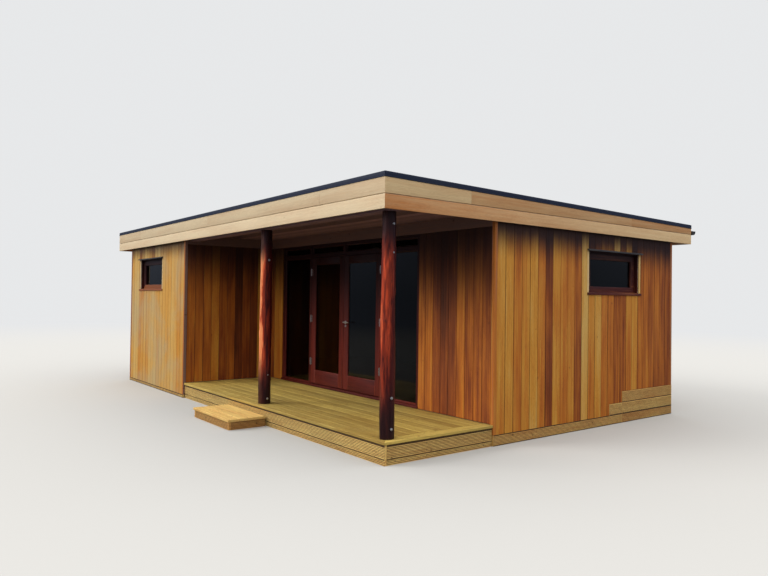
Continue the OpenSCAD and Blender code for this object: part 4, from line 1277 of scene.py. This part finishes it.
class GARDEN_ROOM_OT_gutter(Operator):
    """Half-round gutter with brackets and outlet"""

    bl_idname = "garden_room.gutter"
    bl_label = "Gutter"

    def execute(self, context):
        refined("gutter", "gutter_black", finish("black_gutter"), 81, 0.0, (0.0, 0.1))
        return {"FINISHED"}


class GARDEN_ROOM_OT_screen(Operator):
    """Stained frame, beads and glass of the fixed screen"""

    bl_idname = "garden_room.screen"
    bl_label = "Glazed screen"

    def execute(self, context):
        def rail(at, order):
            return X, Z, Y

        def bead(at, order):
            return (X, Z, Y) if order[0] == X else (Z, X, Y)

        wood = finish("mahogany_stain")
        arris = context.scene.room_joinery.arris
        refined("screen_posts", "joinery", wood, 91, arris, (0.6, 0.9))
        refined("screen_rails", "joinery", wood, 92, arris, (0.65, 0.95), member=rail)
        refined("screen_beads", "joinery", wood, 93, 0.001, member=bead)
        painted("screen_glass", finish("double_glazing"))
        return {"FINISHED"}


class GARDEN_ROOM_OT_doors(Operator):
    """Two glazed leaves with chamfered openings"""

    bl_idname = "garden_room.doors"
    bl_label = "Door leaves"

    stile = 0.113

    def execute(self, context):
        wood = finish("mahogany_stain")
        arris = context.scene.room_joinery.arris
        for door, seed in (("left_door", 101), ("right_door", 104)):
            low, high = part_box(door + "_leaf")

            def member(at, order, left=low.x + self.stile, right=high.x - self.stile):
                return (Z, X, Y) if at.x < left or at.x > right else (X, Z, Y, 0.15)

            grain = {"tone": (0.35, 0.50), "member": member}
            refined(door + "_leaf", "joinery", wood, seed, arris, body=door, **grain)
            painted(door + "_glass", finish("double_glazing"))
        return {"FINISHED"}


class GARDEN_ROOM_OT_hardware(Operator):
    """Hinges with their screws, and the lever set with its key slots"""

    bl_idname = "garden_room.hardware"
    bl_label = "Door hardware"

    middle, to_pin, flap = 1.270, 0.876, (0.0065, 0.05)  # Of the doors, and a flap off its pin
    hinge_heights = (0.610, 1.265, 1.975)
    pattern = ((-0.034, 0.005), (0.0, -0.005), (0.034, 0.005))  # Up and across on a hinge flap
    screw = (0.0042, 0.0009, 12, 0.75)  # Radius, height, sides and taper of a head
    flap_thick, plate_thick = 0.003, 0.010
    key_in, key_up, slot_up = 0.056, 1.192, 1.1865  # From the leaf's edge, and heights
    key, slot = (0.0035, 0.0006, 14, 1.0), (0.0022, 0.0006, 0.009)
    parts = (
        ("frame_hinges", "building"),
        ("left_door_hinges", "left_door"),
        ("right_door_hinges", "right_door"),
        ("door_handle", "right_door"),
    )
    flaps = (
        ("frame_hinge_screws", "building", (0.370, 2.170)),
        ("left_hinge_screws", "left_door", (0.418,)),
        ("right_hinge_screws", "right_door", (2.122,)),
    )

    def execute(self, context):
        steel = finish("satin_steel")

        def stained(at):
            """Hinge flaps are stained over with the doors, and count as grooves."""
            off_pin = abs(abs(at.x - self.middle) - self.to_pin)
            return IN_GROOVE if self.flap[0] < off_pin < self.flap[1] else 0.0

        for node, body in self.parts:
            refined(node, "steel", steel, 111, 0.0004, body=body, sunk=stained)
        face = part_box("left_door_leaf")[0].y - self.flap_thick
        for name, body, places in self.flaps:
            bm = bmesh.new()
            for x in places:
                for z in self.hinge_heights:
                    for up, shift in self.pattern:
                        disc(bm, (x + shift, face, z + up), FORWARD, *self.screw)
            made_piece(bm, name, steel, body=body)
        low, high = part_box("right_door_leaf")
        bm = bmesh.new()
        x = low.x + self.key_in
        for y, out in ((low.y - self.plate_thick, -1), (high.y + self.plate_thick, 1)):
            disc(bm, (x, y, self.key_up), (0, out, 0), *self.key)
            block(bm, (x, y + out * self.slot[1] / 2, self.slot_up), self.slot)
        made_piece(bm, "key_slots", finish("weathered_screws"), body="right_door")
        return {"FINISHED"}


class GARDEN_ROOM_OT_windows(Operator):
    """Two fixed windows with sash, sill, glass and head flashing"""

    bl_idname = "garden_room.windows"
    bl_label = "Windows"

    front_middle, right_middle, half_rail = -2.530, 1.148, 0.455
    between_rails = (1.72, 2.18)
    sill_top = 1.775

    def execute(self, context):
        def member(at, order):
            """Upright stiles, level rails and the sill of the front window, paler as a painted
            highlight.
            """
            front = at.y < -2.0
            middle, run, deep = (self.front_middle, X, Y) if front else (self.right_middle, Y, X)
            beside = abs(at[run] - middle) > self.half_rail
            if beside and self.between_rails[0] < at.z < self.between_rails[1]:
                return Z, run, deep
            return run, Z, deep, (-0.75 if front and at.z < self.sill_top else 0.0)

        wood = finish("mahogany_stain")
        refined("window_frames", "joinery", wood, 121, 0.0015, (0.15, 0.4), member=member)
        painted("window_glass", finish("double_glazing"))
        refined("window_flashings", "flashing", finish("dark_flashing"), 123, 0.0004)
        return {"FINISHED"}


class GARDEN_ROOM_OT_inside(Operator):
    """Lining, floor, roof panel and base"""

    bl_idname = "garden_room.inside"
    bl_label = "Inside and base"

    def execute(self, context):
        walls = [wall + "_wall" for wall in ("bay_front", "return", "recess", "right", "back", "left")]
        for node in (*walls, "roof_panel"):
            painted(node, finish("painted_lining"))
        painted("floor", finish("inner_floor"))
        refined("base_frame", "framing", finish("sawn_framing"), 131, 0.002)
        return {"FINISHED"}


class GARDEN_ROOM_OT_stage(Operator):
    """Plain floor and background, soft light and the camera"""

    bl_idname = "garden_room.stage"
    bl_label = "Stage"

    floor_radius, under = 90.0, -0.001
    key_from, key_angle = (-0.50, -0.78, 0.52), 28.0
    turns = (52.21, 0.833, 0.743)  # Camera's yaw, pitch and roll in degrees
    stand, lens = (9.097, -6.468, 1.602), 30.753

    def placed(self, scene, name, data):
        made = bpy.data.objects.new(name, data)
        scene.collection.objects.link(made)
        return made

    def floor(self, scene):
        bm = bmesh.new()
        bmesh.ops.create_circle(bm, cap_ends=True, segments=96, radius=self.floor_radius)
        bmesh.ops.translate(bm, verts=bm.verts, vec=(0.0, 0.0, self.under))
        mesh = bpy.data.meshes.new("stage_floor")
        bm.to_mesh(mesh)
        bm.free()
        self.placed(scene, "stage_floor", mesh)
        mesh.materials.append(finish("stage_floor"))

    def world(self, scene):
        """Light from above and, where the camera or a reflection looks, a plain background."""
        made = scene.room_stage
        world = scene.world = bpy.data.worlds.new("studio")
        world.use_nodes = True
        world.node_tree.nodes.clear()
        net = Net(world.node_tree)
        up = net.parts(net.put("TexCoord").outputs["Generated"])[2]
        seen, mirrored = net.seen_and_mirrored()
        light, dim, plain = (
            net.put("Background", {"Color": (*tint, 1.0), "Strength": level}).outputs[0]
            for tint, level in (
                ((1.0, 0.985, 0.965), net.remap(up, 0.0, 1.0, made.horizon, made.sky)),
                (made.mirrored, net.remap(up, 0.0, 0.8, made.dim, 1.0)),
                (made.backdrop, 1.0),
            )
        )
        both = net.put("MixShader", [mirrored, light, dim]).outputs[0]
        both = net.put("MixShader", [seen, both, plain]).outputs[0]
        net.put("OutputWorld", {"Surface": both})

    def lamps(self, scene):
        lamp = bpy.data.lights.new("key", "SUN")
        lamp.energy = scene.room_stage.key
        lamp.angle = math.radians(self.key_angle)
        lamp.color = (1.0, 0.97, 0.92)
        key = self.placed(scene, "key", lamp)
        key.rotation_euler = Vector(self.key_from).to_track_quat("Z", "Y").to_euler()

    def camera(self, scene):
        yaw, pitch, roll = (math.radians(turn) for turn in self.turns)
        level = Vector((math.cos(yaw), math.sin(yaw), 0.0))
        ahead = (-math.sin(yaw) * math.cos(pitch), math.cos(yaw) * math.cos(pitch), math.sin(pitch))
        ahead = Vector(ahead)
        above = level.cross(ahead)
        right = math.cos(roll) * level + math.sin(roll) * above
        up = -math.sin(roll) * level + math.cos(roll) * above
        data = bpy.data.cameras.new("view")
        data.sensor_fit = "HORIZONTAL"
        data.sensor_width = 36.0
        data.lens = self.lens
        data.clip_end = 300.0
        scene.camera = self.placed(scene, "view", data)
        turned = Matrix((right, up, -ahead)).transposed().to_4x4()
        scene.camera.matrix_world = Matrix.Translation(self.stand) @ turned

    def execute(self, context):
        scene = context.scene
        scene.view_settings.view_transform = "Standard"
        for add in (self.floor, self.world, self.lamps, self.camera):
            add(scene)
        return {"FINISHED"}


OPERATORS = (
    GARDEN_ROOM_OT_cladding,
    GARDEN_ROOM_OT_trims,
    GARDEN_ROOM_OT_plinth,
    GARDEN_ROOM_OT_deck,
    GARDEN_ROOM_OT_step,
    GARDEN_ROOM_OT_posts,
    GARDEN_ROOM_OT_soffit,
    GARDEN_ROOM_OT_roof,
    GARDEN_ROOM_OT_fascias,
    GARDEN_ROOM_OT_gutter,
    GARDEN_ROOM_OT_screen,
    GARDEN_ROOM_OT_doors,
    GARDEN_ROOM_OT_hardware,
    GARDEN_ROOM_OT_windows,
    GARDEN_ROOM_OT_inside,
    GARDEN_ROOM_OT_stage,
)


class GARDEN_ROOM_PT_panel(Panel):
    bl_idname = "GARDEN_ROOM_PT_panel"
    bl_label = "Garden Room"
    bl_space_type = "VIEW_3D"
    bl_region_type = "UI"
    bl_category = "Garden Room"

    def draw(self, context):
        for kind in OPERATORS:
            self.layout.operator(kind.bl_idname)
        for name, kind in SETTINGS.items():
            box = self.layout.box()
            box.label(text=name.replace("room_", "").title())
            for value in kind.__annotations__:
                box.prop(getattr(context.scene, name), value)


def register():
    for name, kind in SETTINGS.items():
        bpy.utils.register_class(kind)
        setattr(bpy.types.Scene, name, PointerProperty(type=kind))
    for kind in (*OPERATORS, GARDEN_ROOM_PT_panel):
        bpy.utils.register_class(kind)


def unregister():
    for kind in (GARDEN_ROOM_PT_panel, *reversed(OPERATORS)):
        bpy.utils.unregister_class(kind)
    for name, kind in reversed(SETTINGS.items()):
        delattr(bpy.types.Scene, name)
        bpy.utils.unregister_class(kind)


def main():
    register()
    for kind in OPERATORS:
        getattr(bpy.ops.garden_room, kind.bl_idname.split(".")[1])()


if __name__ == "__main__":
    main()
